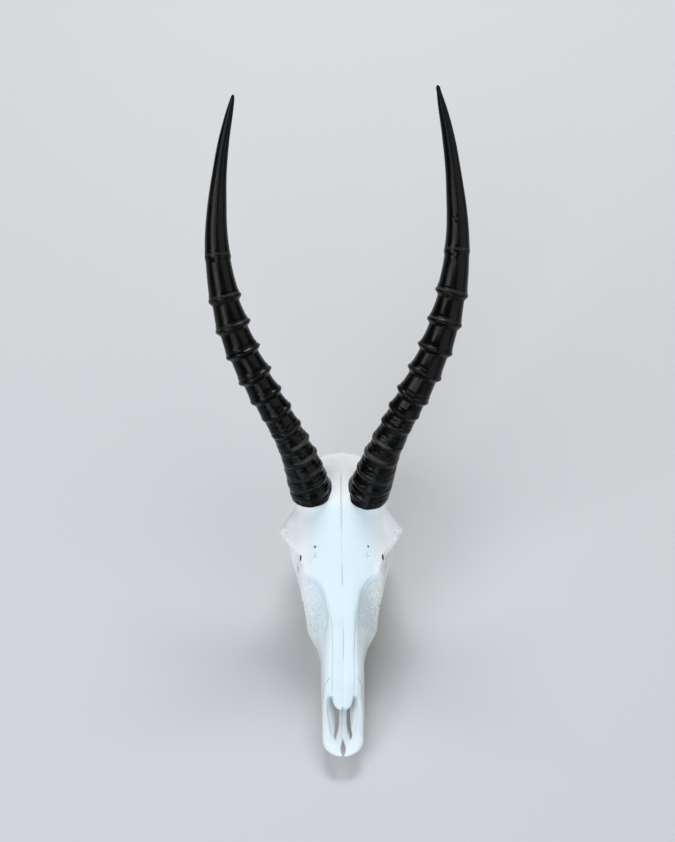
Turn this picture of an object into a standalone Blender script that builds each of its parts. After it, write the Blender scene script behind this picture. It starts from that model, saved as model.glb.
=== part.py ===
"""A blesbok skull with two ringed horns and twelve upper cheek teeth.

It lies as it would on a table: on the worn chewing surfaces of the teeth and on the tips of
the two jugular processes behind them. The skull is laid out in millimetres as (x, s, z), with
x out from the midline, s back from the tip of the nose and z up from the table.
"""

import math

import bmesh
import bpy
import numpy as np
from mathutils import Matrix, Vector

MM = 0.001
SIDES = {"left": -1.0, "right": 1.0}

# Where the middle of the whole skull, horns included, lies under the skull's own (x, s)
CENTRE_X = -2.15
CENTRE_S = 229.755

# Ridge lines of the skull's outer surface, each point as (s, x, z)
CREST = (
    (0, 0, 20), (12, 0, 22), (25, 0, 31), (38, 0, 43), (50, 0, 54), (70, 0, 62), (90, 0, 70),
    (110, 0, 77.5), (130, 0, 85), (150, 0, 92.5), (165, 0, 99), (180, 0, 105.5), (195, 0, 111),
    (206, 0, 115), (218, 0, 117.5), (232, 0, 119), (245, 0, 118), (258, 0, 113), (270, 0, 105),
    (279, 0, 95), (286, 0, 83), (291, 0, 70),
)
PLATEAU_EDGE = (
    (0, 14, 20), (12, 15, 22), (38, 15, 43), (50, 13.5, 53.5), (90, 12, 68.5), (120, 13.5, 79.5),
    (140, 17, 87), (158, 25, 95), (175, 35, 100.5), (190, 44, 105), (205, 40.5, 109.5),
    (218, 35, 112), (232, 21, 114), (258, 17, 108), (279, 15, 90), (291, 10, 67),
)
BROW = (
    (0, 18, 19), (12, 18.4, 20), (38, 19, 37), (50, 18.2, 46), (90, 18, 58), (120, 17.5, 66),
    (130, 18.5, 70), (140, 21, 73), (149, 25.5, 76), (157, 35, 75), (163, 38.6, 81),
    (169, 39.6, 88), (176, 43, 92), (184, 50, 95), (191, 57.4, 96.5), (196, 56.6, 95.5),
    (203, 51, 97), (211, 44, 100), (220, 40.5, 101), (232, 30, 101),
    (258, 28, 97), (279, 25, 79), (291, 20, 61),
)
CHEEK = (
    (0, 19.2, 17.8), (12, 19.2, 18), (43, 19.6, 28), (64, 20.4, 34), (86, 20.8, 40), (100, 25, 40),
    (112, 31, 39), (119, 33.4, 38.5), (126, 34, 41), (142, 37, 50), (160, 40.6, 55),
    (172, 42.4, 57), (182, 40, 60), (191, 36, 66), (202, 32, 76), (218, 32, 82), (250, 33.5, 84),
    (270, 31, 76), (284, 27, 63), (291, 22, 55),
)
FLANK = (
    (0, 18.4, 16.4), (12, 18.2, 16.2), (43, 18, 20), (86, 18.6, 26), (104, 23, 25),
    (120, 28, 26), (142, 32, 32), (160, 34, 36), (175, 33, 44), (190, 27, 51), (202, 24, 55),
    (218, 27, 62), (234, 30, 64), (250, 31, 62), (270, 28, 58), (291, 18, 45),
)
GUM_EDGE = (
    (0, 15, 15.4), (12, 15, 15.3), (43, 14.5, 14.5), (70, 15.4, 13), (86, 18, 12.5),
    (99, 21, 12.5), (119, 26.6, 12.5), (133, 29, 12.5), (149, 30.2, 12.5), (168, 30.6, 13),
    (174, 27, 19), (180, 22, 32), (190, 19, 42), (215, 17, 48), (250, 18, 44), (275, 16, 38),
    (291, 12, 36),
)
PALATE_EDGE = (
    (0, 9, 15.6), (43, 9, 15), (86, 8, 14), (99, 9, 13), (119, 13, 13), (149, 16.5, 13.5),
    (168, 15, 15), (174, 13, 25), (180, 12, 38), (215, 9, 46), (250, 9, 42), (291, 6, 34),
)
PALATE_MIDLINE = (
    (0, 0, 16.2), (43, 0, 16), (70, 0, 17), (90, 0, 19), (120, 0, 22), (150, 0, 24),
    (166, 0, 27), (180, 0, 40), (215, 0, 47), (250, 0, 43), (275, 0, 38), (291, 0, 35),
)
RIDGES = (CREST, PLATEAU_EDGE, BROW, CHEEK, FLANK, GUM_EDGE, PALATE_EDGE, PALATE_MIDLINE)
SKULL_FRONT = 0.4
SKULL_BACK = 291.0
STATION_STEP = 3.0
OUTLINE_STEPS = 4
SNOUT_ROUND = 17.0
SNOUT_STATIONS = 9
SNOUT_MID_Z = 18.0
SNOUT_FLATTEST = 0.4

# Nasal bones, each station as (s, half width, top z)
NASALS = (
    (35, 2.8, 46.6), (37, 6.2, 47.6), (40, 8.8, 49.2), (47, 10.2, 53), (56, 11.2, 57.2), (70, 12, 62.9),
    (90, 12, 70.7), (120, 12.6, 81.6), (140, 11, 88.4), (156, 6, 94.6),
)
NASAL_THICKNESS = 3.6
NASAL_STEP = 1.5

# Rounded box sections: how square they are, and the points around one
TROUGH_POWER = 4.0
PLATE_POWER = 3.0
TROUGH_SIDES = 24
PLATE_SIDES = 16
TROUGH_STEP = 2.0

# Nose cavity, each station as (s, half width, floor z, roof z)
NOSE_CAVITY = (
    (9, 5, 20.6, 34), (14, 9, 20.8, 40), (22, 12, 21, 52), (32, 14, 21.2, 64), (46, 15, 21.6, 70),
    (50, 14.6, 22, 51), (70, 14.4, 23.5, 57), (90, 13.6, 25, 61), (120, 14.6, 28, 63),
    (150, 16.5, 31, 66), (160, 12, 34, 60),
)
THROAT = ((148, 8, 29, 42), (160, 8.6, 27, 40), (172, 8.6, 24, 37), (184, 8, 20, 36))

# Bars of bone, each point as (x, s, z, half thickness)
CHEEK_BAR = (
    (33, 146, 47, 4.2), (39.2, 167, 53.5, 4.4), (43.8, 183, 56.4, 4.6), (46.4, 199, 58.4, 4.5),
    (45.6, 214, 60.5, 4.2), (41.4, 229, 61, 4.6), (34, 241, 61, 6),
)
EYE_BAR = ((53.4, 193, 94, 4), (53, 196.5, 84, 3.6), (50.4, 199, 72, 3.4), (46.6, 201, 59, 4))
JUGULAR_PROCESS = ((26, 274, 60, 8), (28.6, 274, 44, 6.6), (30, 272.5, 24, 5), (29, 269, -4, 3.6))
HORN_PEDICLE = ((26, 218, 92, 19), (26.4, 223, 107, 17.6), (27.6, 228, 118, 16.6))
NAPE_CREST = ((0, 289, 73, 4), (16, 287, 70, 4), (27, 281, 62, 4.4), (29, 276, 52, 5))
BAR_SIDES = 12
BAR_STEPS = 4

# Upright plates beside the throat, each station as (s, x, half thickness, low z, high z)
PTERYGOID_PLATE = (
    (158, 13.4, 2.6, 24, 42), (168, 13, 2.2, 20, 48), (182, 12.4, 2, 22, 52), (196, 12, 2, 30, 54),
    (210, 12, 2.4, 42, 56),
)

# Rounded bones, each as (centre x, s, z) and (radii along x, s, z)
CONDYLE = ((13.5, 290, 43), (8.6, 9.6, 13.5))
BULLA = ((21, 247, 39), (8.5, 13, 11))
JAW_HINGE = ((36, 232, 56), (10, 10, 5.5))
EYE_SOCKET = ((49, 178.5, 75.6), (25, 17.4, 15.8))
TEMPLE_HOLLOW = ((51, 214, 79), (17.5, 14, 17))
EAR_OPENING = ((40, 252, 56), (11, 4, 4))
NECK_HOLE = ((0, 297, 55), (10.5, 26, 9.5))
ROUND_BONE_SEGMENTS = 24
ROUND_BONE_RINGS = 14

# Slots through the bone floor of the nose, each station as (s, inner x, outer x)
FLOOR_SLOT = (
    (15.5, 6.7, 7.3), (20, 5.9, 8.5), (26, 4.5, 8.6), (33, 3.4, 8), (45, 3, 6.8), (62, 2.6, 5.6),
)
TIP_GAP = ((-2, 0.7), (1.5, 0.8), (4, 1.7), (8, 2.1), (13, 1.6), (19.5, 0.2))
SLOT_LOW = 8.0
SLOT_HIGH = 23.5

# Cheek teeth from front to back, each as (front s, back s); the row's outer side as (s, x)
TEETH = {
    "premolar_2": (90, 98.6), "premolar_3": (99, 108.6), "premolar_4": (109, 118.6),
    "molar_1": (119, 132.6), "molar_2": (133, 148.6), "molar_3": (149, 167),
}
TOOTH_ROW_OUTSIDE = ((88, 16.4), (99, 19), (119, 24.6), (133, 27), (149, 28.2), (169, 28.6))
TOOTH_WIDTHS = ((90, 8.4), (167, 11.2))
LONGEST_ONE_LOBED = 12.0
TOOTH_STEPS_PER_LOBE = 4
SOCKET_STATIONS = 12
TOOTH_TOP = 19.0
TOOTH_SHOULDER = 3.0
WORN_SCALE = 0.95
ROOT_SCALE = 0.97
MOLAR_WAIST = 0.9
FIT_GAP = 0.35

# Horn centre lines, each point as (x, s, z), from the sheath's base to its tip
HORN_LINES = {
    "left": (
        (-27.3, 223, 108), (-39, 240.5, 151), (-55.5, 259, 187), (-75.5, 282, 217),
        (-93, 309, 245), (-104.5, 340, 273), (-109.5, 372, 301.5), (-107.5, 402, 332),
        (-101.5, 428.5, 365), (-91.5, 452.5, 399.5),
    ),
    "right": (
        (25.1, 223.2, 107), (38.3, 241, 152.5), (54.8, 259.5, 188), (74.3, 283, 219.5),
        (90.8, 311, 248), (101.3, 343, 277), (104.8, 375, 306), (101.8, 405.5, 337),
        (95.3, 433, 370.5), (85.3, 457, 405.5),
    ),
}
# Where each ring's crest lies, in millimetres along the horn from its base
HORN_RINGS = {
    "left": (13, 24, 35, 48.5, 65, 81.5, 98, 117, 137, 163, 188, 216, 244),
    "right": (10, 21, 33, 49, 65.5, 84, 100, 119, 142.5, 166, 193, 222, 249),
}
# Horn radius between the rings, then how far each ring stands out, each as (mm along the horn, mm)
HORN_RADII = (
    (0, 18.7), (14, 18.9), (30, 17.8), (45, 16.3), (63, 14.5), (85, 13.5), (110, 13), (163, 13),
    (193, 12.9), (215, 12.1), (245, 11.3), (275, 9.9), (299, 8.7), (323, 7.1), (358, 5.4),
    (383, 3.6), (397, 1.9),
)
RING_HEIGHTS = (
    (0, 0.9), (21, 1.4), (35, 1.9), (49, 2.3), (66, 2.5), (82, 2.7), (98, 2.9), (119, 3.4),
    (142, 3.8), (166, 3.6), (190, 3.2), (219, 2.4), (247, 0.9),
)
# Low on the horn a ring stands out only on one side, as (mm along the horn, how one-sided it is)
ONE_SIDED = ((85, 1.0), (125, 0.0))
STRONG_SIDE = (-0.8, -0.6, 0.0)
# A ring steps in within RING_STEP on its base side and tapers over RING_TAPER of the way tipwards
RING_STEP = 3.0
RING_TAPER = 0.34
RIM_HEIGHT = 0.6
# How much slimmer a horn's outer third is, over the stretch where that comes in
SLIMMER = {"left": 0.8, "right": 0.0}
SLIMMER_FROM = 270.0
SLIMMER_TO = 360.0
# The rounded tip, each as (mm from the very end, radius)
HORN_TIP = ((4, 2.1), (1, 1.4), (0, 0.5))
HORN_SIDES = 16
SMOOTH_HORN_STEP = 14.0
HORN_SEAT_MARGIN = 1.5
HORN_SEAT_SIDES = 32

VOXEL = 1.7
SKULL_TRIANGLES_KEPT = 0.048
SMOOTHING_ROUNDS = 3
SLAB_DEPTH = 20.0
TABLE_REACH = 200.0


def clear_scene():
    """Removes every object, so that the script can be run again in the same file."""
    for obj in list(bpy.data.objects):
        bpy.data.objects.remove(obj, do_unlink=True)


def new_collection(name, hidden):
    """Makes a collection in the scene, left out of renders when hidden is true."""
    collection = bpy.data.collections.new(name)
    bpy.context.scene.collection.children.link(collection)
    collection.hide_render = hidden
    return collection


def new_material(name, colour, roughness):
    """Makes a plain Principled material."""
    material = bpy.data.materials.new(name)
    material.use_nodes = True
    shader = material.node_tree.nodes["Principled BSDF"]
    shader.inputs["Base Color"].default_value = (*colour, 1.0)
    shader.inputs["Roughness"].default_value = roughness
    shader.inputs["Metallic"].default_value = 0.0
    return material


def placed(points):
    """Turns skull millimetres (x, s, z) into scene metres about the whole object's middle."""
    shift = np.array([CENTRE_X, CENTRE_S, 0.0])
    return (np.asarray(points, float) - shift) * MM


def smooth_curve(at, xs, ys):
    """Cubic curve through the points (xs, ys), read at the places in at."""
    xs = np.asarray(xs, float)
    ys = np.asarray(ys, float)
    slopes = np.gradient(ys, xs)
    i = np.clip(np.searchsorted(xs, at, side="right") - 1, 0, len(xs) - 2)
    width = xs[i + 1] - xs[i]
    t = np.clip((at - xs[i]) / width, 0.0, 1.0)
    start = (1 + 2 * t) * (1 - t) ** 2 * ys[i] + t * (1 - t) ** 2 * width * slopes[i]
    end = t * t * (3 - 2 * t) * ys[i + 1] - t * t * (1 - t) * width * slopes[i + 1]
    return start + end


def smooth_columns(at, stations):
    """Reads every column of a station list, whose first column is its place, at one place."""
    table = np.asarray(stations, float)
    return [float(smooth_curve(at, table[:, 0], column)) for column in table[:, 1:].T]


def closed_outline(points, steps):
    """Rounds a closed outline: a Catmull-Rom curve through the points, with steps a side."""
    points = np.asarray(points, float)
    before = np.roll(points, 1, axis=0)
    after = np.roll(points, -1, axis=0)
    beyond = np.roll(points, -2, axis=0)
    rows = []
    for t in np.arange(steps) / steps:
        rows.append(
            0.5 * (2 * points + (after - before) * t
                   + (2 * before - 5 * points + 4 * after - beyond) * t ** 2
                   + (3 * points - before - 3 * after + beyond) * t ** 3)
        )
    return np.stack(rows, axis=1).reshape(-1, 2)


def new_object(name, bm, collection):
    """Makes an object of a mesh that is already in place, with its faces turned outwards."""
    bmesh.ops.recalc_face_normals(bm, faces=bm.faces)
    mesh = bpy.data.meshes.new(name)
    bm.to_mesh(mesh)
    bm.free()
    obj = bpy.data.objects.new(name, mesh)
    collection.objects.link(obj)
    return obj


def add_loft(bm, rings):
    """Adds a closed solid that runs through rings with equal numbers of points."""
    rows = [[bm.verts.new(point) for point in placed(ring)] for ring in rings]
    count = len(rows[0])
    for low, high in zip(rows, rows[1:]):
        for i in range(count):
            j = (i + 1) % count
            bm.faces.new((low[i], low[j], high[j], high[i]))
    bm.faces.new(rows[0][::-1])
    bm.faces.new(rows[-1])


def add_ellipsoid(bm, shape, side):
    """Adds one rounded bone on the given side."""
    (x, s, z), radii = shape
    scale = Matrix.Diagonal((*(radius * MM for radius in radii), 1.0))
    place = Matrix.Translation(Vector(placed((x * side, s, z))))
    bmesh.ops.create_uvsphere(
        bm, u_segments=ROUND_BONE_SEGMENTS, v_segments=ROUND_BONE_RINGS, radius=1.0,
        matrix=place @ scale,
    )


def add_bar(bm, points, side):
    """Adds a bar of bone whose thickness changes along it, made from a bevelled curve."""
    curve = bpy.data.curves.new("bar", "CURVE")
    curve.dimensions = "3D"
    curve.bevel_depth = MM
    curve.bevel_resolution = BAR_SIDES // 4
    curve.use_fill_caps = True
    spline = curve.splines.new("POLY")
    steps = np.linspace(0, len(points) - 1, BAR_STEPS * (len(points) - 1) + 1)
    table = np.asarray(points, float)
    columns = [smooth_curve(steps, np.arange(len(points)), column) for column in table.T]
    spline.points.add(len(steps) - 1)
    for point, x, s, z, thickness in zip(spline.points, *columns):
        point.co = (*placed((x * side, s, z)), 1.0)
        point.radius = thickness
    add_curve_mesh(bm, curve)


def add_curve_mesh(bm, curve):
    """Adds the welded mesh of a bevelled curve."""
    guide = bpy.data.objects.new("guide", curve)
    bpy.context.scene.collection.objects.link(guide)
    evaluated = guide.evaluated_get(bpy.context.evaluated_depsgraph_get())
    mesh = bpy.data.meshes.new_from_object(evaluated)
    bar = bmesh.new()
    bar.from_mesh(mesh)
    bmesh.ops.remove_doubles(bar, verts=bar.verts, dist=1e-6)
    welded = bpy.data.meshes.new("bar")
    bar.to_mesh(welded)
    bar.free()
    bm.from_mesh(welded)
    bpy.data.objects.remove(guide, do_unlink=True)


def snout_factor(s):
    """How far the rounded front of the snout has opened at s, from 0 at its tip to 1."""
    lead = min(max(1.0 - s / SNOUT_ROUND, 0.0), 1.0)
    return math.sqrt(1.0 - lead ** 2)


def skull_section(s):
    """Outline of the skull's outer surface across the head at s."""
    half = [smooth_columns(s, ridge) for ridge in RIDGES]
    open_by = snout_factor(s)
    lift_by = max(open_by, SNOUT_FLATTEST)
    half = [(x * open_by, SNOUT_MID_Z + (z - SNOUT_MID_Z) * lift_by) for x, z in half]
    mirrored = [(-x, z) for x, z in half[-2:0:-1]]
    outline = closed_outline(half + mirrored, OUTLINE_STEPS)
    return np.column_stack([outline[:, 0], np.full(len(outline), s), outline[:, 1]])


def add_skull_body(bm):
    """Adds the face and braincase as one loft."""
    opening = 1 - np.cos(np.linspace(0, math.pi / 2, SNOUT_STATIONS))
    snout = SKULL_FRONT + (SNOUT_ROUND - SKULL_FRONT) * opening
    rest = np.arange(SNOUT_ROUND + STATION_STEP, SKULL_BACK, STATION_STEP)
    stations = np.concatenate([snout, rest, [SKULL_BACK]])
    add_loft(bm, [skull_section(s) for s in stations])


def box_section(s, half_width, low, high, power, count):
    """A rounded box outline across the head at s."""
    angle = np.linspace(0, 2 * math.pi, count, endpoint=False)
    x = np.sign(np.cos(angle)) * np.abs(np.cos(angle)) ** (2 / power) * half_width
    z = np.sign(np.sin(angle)) * np.abs(np.sin(angle)) ** (2 / power) * (high - low) / 2
    return np.column_stack([x, np.full(count, s), z + (high + low) / 2])


def add_trough(bm, stations):
    """Adds a channel along the head whose width, floor and roof follow the stations."""
    places = np.arange(stations[0][0], stations[-1][0] + TROUGH_STEP / 2, TROUGH_STEP)
    shapes = [smooth_columns(s, stations) for s in places]
    add_loft(bm, [box_section(s, *shape, TROUGH_POWER, TROUGH_SIDES) for s, shape in zip(places, shapes)])


def add_plate(bm, stations, side):
    """Adds an upright plate of bone on one side of the head."""
    places = np.arange(stations[0][0], stations[-1][0] + TROUGH_STEP / 2, TROUGH_STEP)
    rings = []
    for s in places:
        x, half_thickness, low, high = smooth_columns(s, stations)
        ring = box_section(s, half_thickness, low, high, PLATE_POWER, PLATE_SIDES)
        rings.append(ring + np.array([x * side, 0.0, 0.0]))
    add_loft(bm, rings)


def add_nasals(bm):
    """Adds the pair of nasal bones as one raised band that overhangs the nose opening."""
    rings = []
    for s in np.arange(NASALS[0][0], NASALS[-1][0] + NASAL_STEP / 2, NASAL_STEP):
        half_width, top = smooth_columns(s, NASALS)
        ring = box_section(s, half_width, top - NASAL_THICKNESS, top, PLATE_POWER, TROUGH_SIDES)
        rings.append(ring)
    add_loft(bm, rings)


def add_slab(bm, outline, low, high):
    """Adds an upright prism with the given (x, s) outline between two heights."""
    add_loft(bm, [[(x, s, z) for x, s in outline] for z in (low, high)])


def horn_line(side_name, places):
    """Points of a horn's centre line at the places, in millimetres from its base."""
    points = np.asarray(HORN_LINES[side_name], float)
    steps = np.linalg.norm(np.diff(points, axis=0), axis=1)
    along = np.concatenate([[0.0], np.cumsum(steps)])
    return np.stack([smooth_curve(places, along, column) for column in points.T], axis=-1)


def horn_length(side_name):
    """Length of a horn's centre line."""
    points = np.asarray(HORN_LINES[side_name], float)
    return float(np.linalg.norm(np.diff(points, axis=0), axis=1).sum())


def horn_profile(side_name):
    """Places, radii and ring heights: a ring steps in on its base side and tapers off tipwards."""
    crests = np.asarray(HORN_RINGS[side_name], float)
    length = horn_length(side_name)
    beyond = np.append(crests[1:], 2 * crests[-1] - crests[-2])
    tapers = crests + (beyond - crests) * RING_TAPER
    steps_in = crests - RING_STEP
    smooth = np.arange(tapers[-1] + SMOOTH_HORN_STEP, length - SMOOTH_HORN_STEP / 2, SMOOTH_HORN_STEP)
    rim = [0.0]
    flat = np.concatenate([steps_in, tapers, smooth])
    places = np.concatenate([rim, crests, flat])
    heights = np.interp(crests, *np.asarray(RING_HEIGHTS, float).T)
    lifts = np.concatenate([[RIM_HEIGHT], heights, np.zeros(len(flat))])
    order = np.argsort(places)
    places = places[order]
    lifts = lifts[order]
    slimmed = np.clip((places - SLIMMER_FROM) / (SLIMMER_TO - SLIMMER_FROM), 0.0, 1.0)
    radii = smooth_curve(places, *np.asarray(HORN_RADII, float).T) + lifts
    radii -= SLIMMER[side_name] * slimmed
    tip = np.asarray(HORN_TIP, float)
    places = np.append(places, length - tip[:, 0])
    return places, np.append(radii, tip[:, 1]), np.append(lifts, np.zeros(len(tip)))


def horn_sections(side_name):
    """Round sections across a horn, moved to the side where its rings stand out."""
    places, radii, lifts = horn_profile(side_name)
    centres = horn_line(side_name, places)
    along = horn_line(side_name, places + 1) - horn_line(side_name, places - 1)
    along /= np.linalg.norm(along, axis=1)[:, None]
    strong = np.array(STRONG_SIDE) * (SIDES[side_name], 1.0, 1.0)
    out = strong - along * (along @ strong)[:, None]
    out /= np.linalg.norm(out, axis=1)[:, None]
    across = np.cross(along, out)
    moved = lifts * np.interp(places, *np.asarray(ONE_SIDED, float).T) / 2
    centres += out * moved[:, None]
    angle = np.linspace(0, 2 * math.pi, HORN_SIDES, endpoint=False)
    turn = np.cos(angle)[:, None] * out[:, None, :] + np.sin(angle)[:, None] * across[:, None, :]
    return centres[:, None, :] + turn * (radii - moved)[:, None, None]


def make_horn(side_name, collection, material):
    """Makes one horn as a loft through its sections."""
    bm = bmesh.new()
    add_loft(bm, horn_sections(side_name))
    horn = new_object("horn_" + side_name, bm, collection)
    horn.data.materials.append(material)
    horn.data.shade_smooth()
    return horn


def add_horn_seat(bm, side_name):
    """Adds the round slab that levels the bone under a horn's base."""
    base, further = horn_line(side_name, np.array([0.0, RING_STEP]))
    axis = Vector(further - base).normalized()
    radius = (HORN_RADII[0][1] + RING_HEIGHTS[0][1] + HORN_SEAT_MARGIN) * MM
    middle = Vector(placed(base)) + axis * (SLAB_DEPTH / 2 - FIT_GAP) * MM
    turn = Vector((0, 0, 1)).rotation_difference(axis).to_matrix().to_4x4()
    bmesh.ops.create_cone(
        bm, cap_ends=True, segments=HORN_SEAT_SIDES, radius1=radius, radius2=radius,
        depth=SLAB_DEPTH * MM, matrix=Matrix.Translation(middle) @ turn,
    )


def tooth_row_edges(s):
    """Outer and inner side of the row of teeth at s, as distances from the midline."""
    outer = float(smooth_curve(s, *np.asarray(TOOTH_ROW_OUTSIDE, float).T))
    return outer, outer - float(np.interp(s, *np.asarray(TOOTH_WIDTHS, float).T))


def tooth_outline(front, back, side):
    """Outline of a tooth's crown in (x, s), pinched between its lobes."""
    span = back - front
    lobes = 2 if span > LONGEST_ONE_LOBED else 1
    across = []
    for s in np.linspace(front, back, TOOTH_STEPS_PER_LOBE * lobes + 1):
        outer, inner = tooth_row_edges(s)
        phase = (s - front) / span * lobes
        pinch = MOLAR_WAIST * (1 - math.sqrt(abs(math.sin(math.pi * phase))))
        across.append((outer - pinch, inner + pinch, s))
    outside = [(side * outer, s) for outer, inner, s in across]
    inside = [(side * inner, s) for outer, inner, s in reversed(across)]
    return outside + inside


def make_tooth(name, span, side, collection, material):
    """Makes one cheek tooth: a lobed crown, slightly narrower at the worn face."""
    bm = bmesh.new()
    outline = np.asarray(tooth_outline(*span, side))
    middle = outline.mean(axis=0)
    worn = middle + (outline - middle) * WORN_SCALE
    root = middle + (outline - middle) * ROOT_SCALE
    levels = ((worn, 0.0), (outline, TOOTH_SHOULDER), (root, TOOTH_TOP - FIT_GAP))
    add_loft(bm, [[(x, s, z) for x, s in ring] for ring, z in levels])
    tooth = new_object(name, bm, collection)
    tooth.data.materials.append(material)
    return tooth


def tooth_row_outline(side):
    """Outline of the whole socket of a row of teeth, a fit gap wider than the teeth."""
    front = TEETH["premolar_2"][0] - FIT_GAP
    back = TEETH["molar_3"][1] + FIT_GAP
    outside = []
    inside = []
    for s in np.linspace(front, back, SOCKET_STATIONS):
        outer, inner = tooth_row_edges(s)
        outside.append((side * (outer + FIT_GAP), s))
        inside.append((side * (inner - FIT_GAP), s))
    return outside + inside[::-1]


def slot_outline(side):
    """Outline of one slot through the floor of the nose."""
    table = FLOOR_SLOT
    outer = [(side * out, s) for s, inner, out in table]
    inner = [(side * inner, s) for s, inner, out in reversed(table)]
    return outer + inner


def tip_gap_outline():
    """Outline of the gap between the tips of the two front bones."""
    right = [(half, s) for s, half in TIP_GAP]
    left = [(-half, s) for s, half in reversed(TIP_GAP)]
    return right + left


def make_bone_mass(collection):
    """Makes the overlapping bones, before they are fused into one."""
    bm = bmesh.new()
    add_skull_body(bm)
    for side in SIDES.values():
        for bar in (NAPE_CREST, CHEEK_BAR, EYE_BAR, JUGULAR_PROCESS, HORN_PEDICLE):
            add_bar(bm, bar, side)
        add_plate(bm, PTERYGOID_PLATE, side)
        for bone in (CONDYLE, BULLA, JAW_HINGE):
            add_ellipsoid(bm, bone, side)
    return new_object("cranium", bm, collection)


def make_hollows(collection):
    """Makes the cavities that are rounded off with the bone: nose, eyes, temples and neck."""
    for side_name, side in SIDES.items():
        for label, shape in (("eye_socket", EYE_SOCKET), ("temple", TEMPLE_HOLLOW), ("ear", EAR_OPENING)):
            bm = bmesh.new()
            add_ellipsoid(bm, shape, side)
            new_object(f"{label}_cut_{side_name}", bm, collection)
    for label, stations in (("nose", NOSE_CAVITY), ("throat", THROAT)):
        bm = bmesh.new()
        add_trough(bm, stations)
        new_object(label + "_cut", bm, collection)
    bm = bmesh.new()
    add_ellipsoid(bm, NECK_HOLE, 1.0)
    new_object("neck_cut", bm, collection)


def make_sharp_cuts(collection):
    """Makes the cuts with crisp edges: floor slots, tip gap, tooth sockets, horn seats and table."""
    outlines = {"tip_gap_cut": (tip_gap_outline(), SLOT_LOW, SLOT_HIGH)}
    for side_name, side in SIDES.items():
        outlines["floor_slot_cut_" + side_name] = (slot_outline(side), SLOT_LOW, SLOT_HIGH)
        outlines["socket_cut_" + side_name] = (tooth_row_outline(side), SLOT_LOW, TOOTH_TOP)
    back = SKULL_BACK + TABLE_REACH
    table = [(-TABLE_REACH, 0), (TABLE_REACH, 0), (TABLE_REACH, back), (-TABLE_REACH, back)]
    outlines["table_cut"] = (table, -SLAB_DEPTH, 0.0)
    for name, (outline, low, high) in outlines.items():
        bm = bmesh.new()
        add_slab(bm, outline, low, high)
        new_object(name, bm, collection)
    for side_name in SIDES:
        bm = bmesh.new()
        add_horn_seat(bm, side_name)
        new_object("horn_seat_cut_" + side_name, bm, collection)


def add_boolean(obj, name, operation, collection):
    """Adds a Boolean against everything in a collection."""
    modifier = obj.modifiers.new(name, "BOOLEAN")
    modifier.operation = operation
    modifier.operand_type = "COLLECTION"
    modifier.collection = collection
    modifier.solver = "EXACT"


def add_fuse(obj, name):
    """Adds a voxel remesh, which fuses overlapping bones into one skin."""
    modifier = obj.modifiers.new(name, "REMESH")
    modifier.mode = "VOXEL"
    modifier.voxel_size = VOXEL * MM
    modifier.use_smooth_shade = True


def make_cranium(parts, hollows, additions, sharp_cuts, material):
    """Makes the skull bone: fused, hollowed, rounded, thinned out and then cut to fit."""
    cranium = make_bone_mass(parts)
    add_fuse(cranium, "fuse bones")
    add_boolean(cranium, "hollow out", "DIFFERENCE", hollows)
    add_boolean(cranium, "add nasals", "UNION", additions)
    add_fuse(cranium, "even skin")
    smooth = cranium.modifiers.new("round edges", "SMOOTH")
    smooth.factor = 0.5
    smooth.iterations = SMOOTHING_ROUNDS
    thin = cranium.modifiers.new("fewer faces", "DECIMATE")
    thin.ratio = SKULL_TRIANGLES_KEPT
    add_boolean(cranium, "cut to fit", "DIFFERENCE", sharp_cuts)
    cranium.data.materials.append(material)
    return cranium


def hide_helpers(*collections):
    """Keeps the cutters and helpers out of the finished object."""
    for collection in collections:
        for obj in collection.objects:
            obj.hide_render = True
            obj.display_type = "WIRE"


def main():
    clear_scene()
    parts = new_collection("blesbok_skull", hidden=False)
    hollows = new_collection("hollows", hidden=True)
    additions = new_collection("additions", hidden=True)
    sharp_cuts = new_collection("sharp_cuts", hidden=True)
    bone = new_material("bone", (0.80, 0.80, 0.77), 0.55)
    horn = new_material("horn", (0.012, 0.011, 0.011), 0.4)
    tooth = new_material("teeth", (0.72, 0.68, 0.58), 0.35)
    make_hollows(hollows)
    make_sharp_cuts(sharp_cuts)
    bm = bmesh.new()
    add_nasals(bm)
    new_object("nasal_bones", bm, additions)
    hide_helpers(hollows, additions, sharp_cuts)
    make_cranium(parts, hollows, additions, sharp_cuts, bone)
    for side_name, side in SIDES.items():
        make_horn(side_name, parts, horn)
        for name, span in TEETH.items():
            make_tooth(f"{name}_{side_name}", span, side, parts, tooth)


if __name__ == "__main__":
    main()
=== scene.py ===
"""A bleached blesbok skull with two ringed black horns, lying on its upper cheek teeth.

Shapes are worked out in skull millimetres (x, s, z): x out from the midline, s back from the
tip of the nose, z up from the table. They become scene metres when a mesh is made.
"""

import itertools
import logging
import math
from collections.abc import Callable
from dataclasses import dataclass, field
from enum import Enum

import bmesh
import bpy
import numpy as np
from bpy.types import ID, Material, Mesh, Node, NodeSocket, Object
from mathutils import Matrix, Vector


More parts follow.
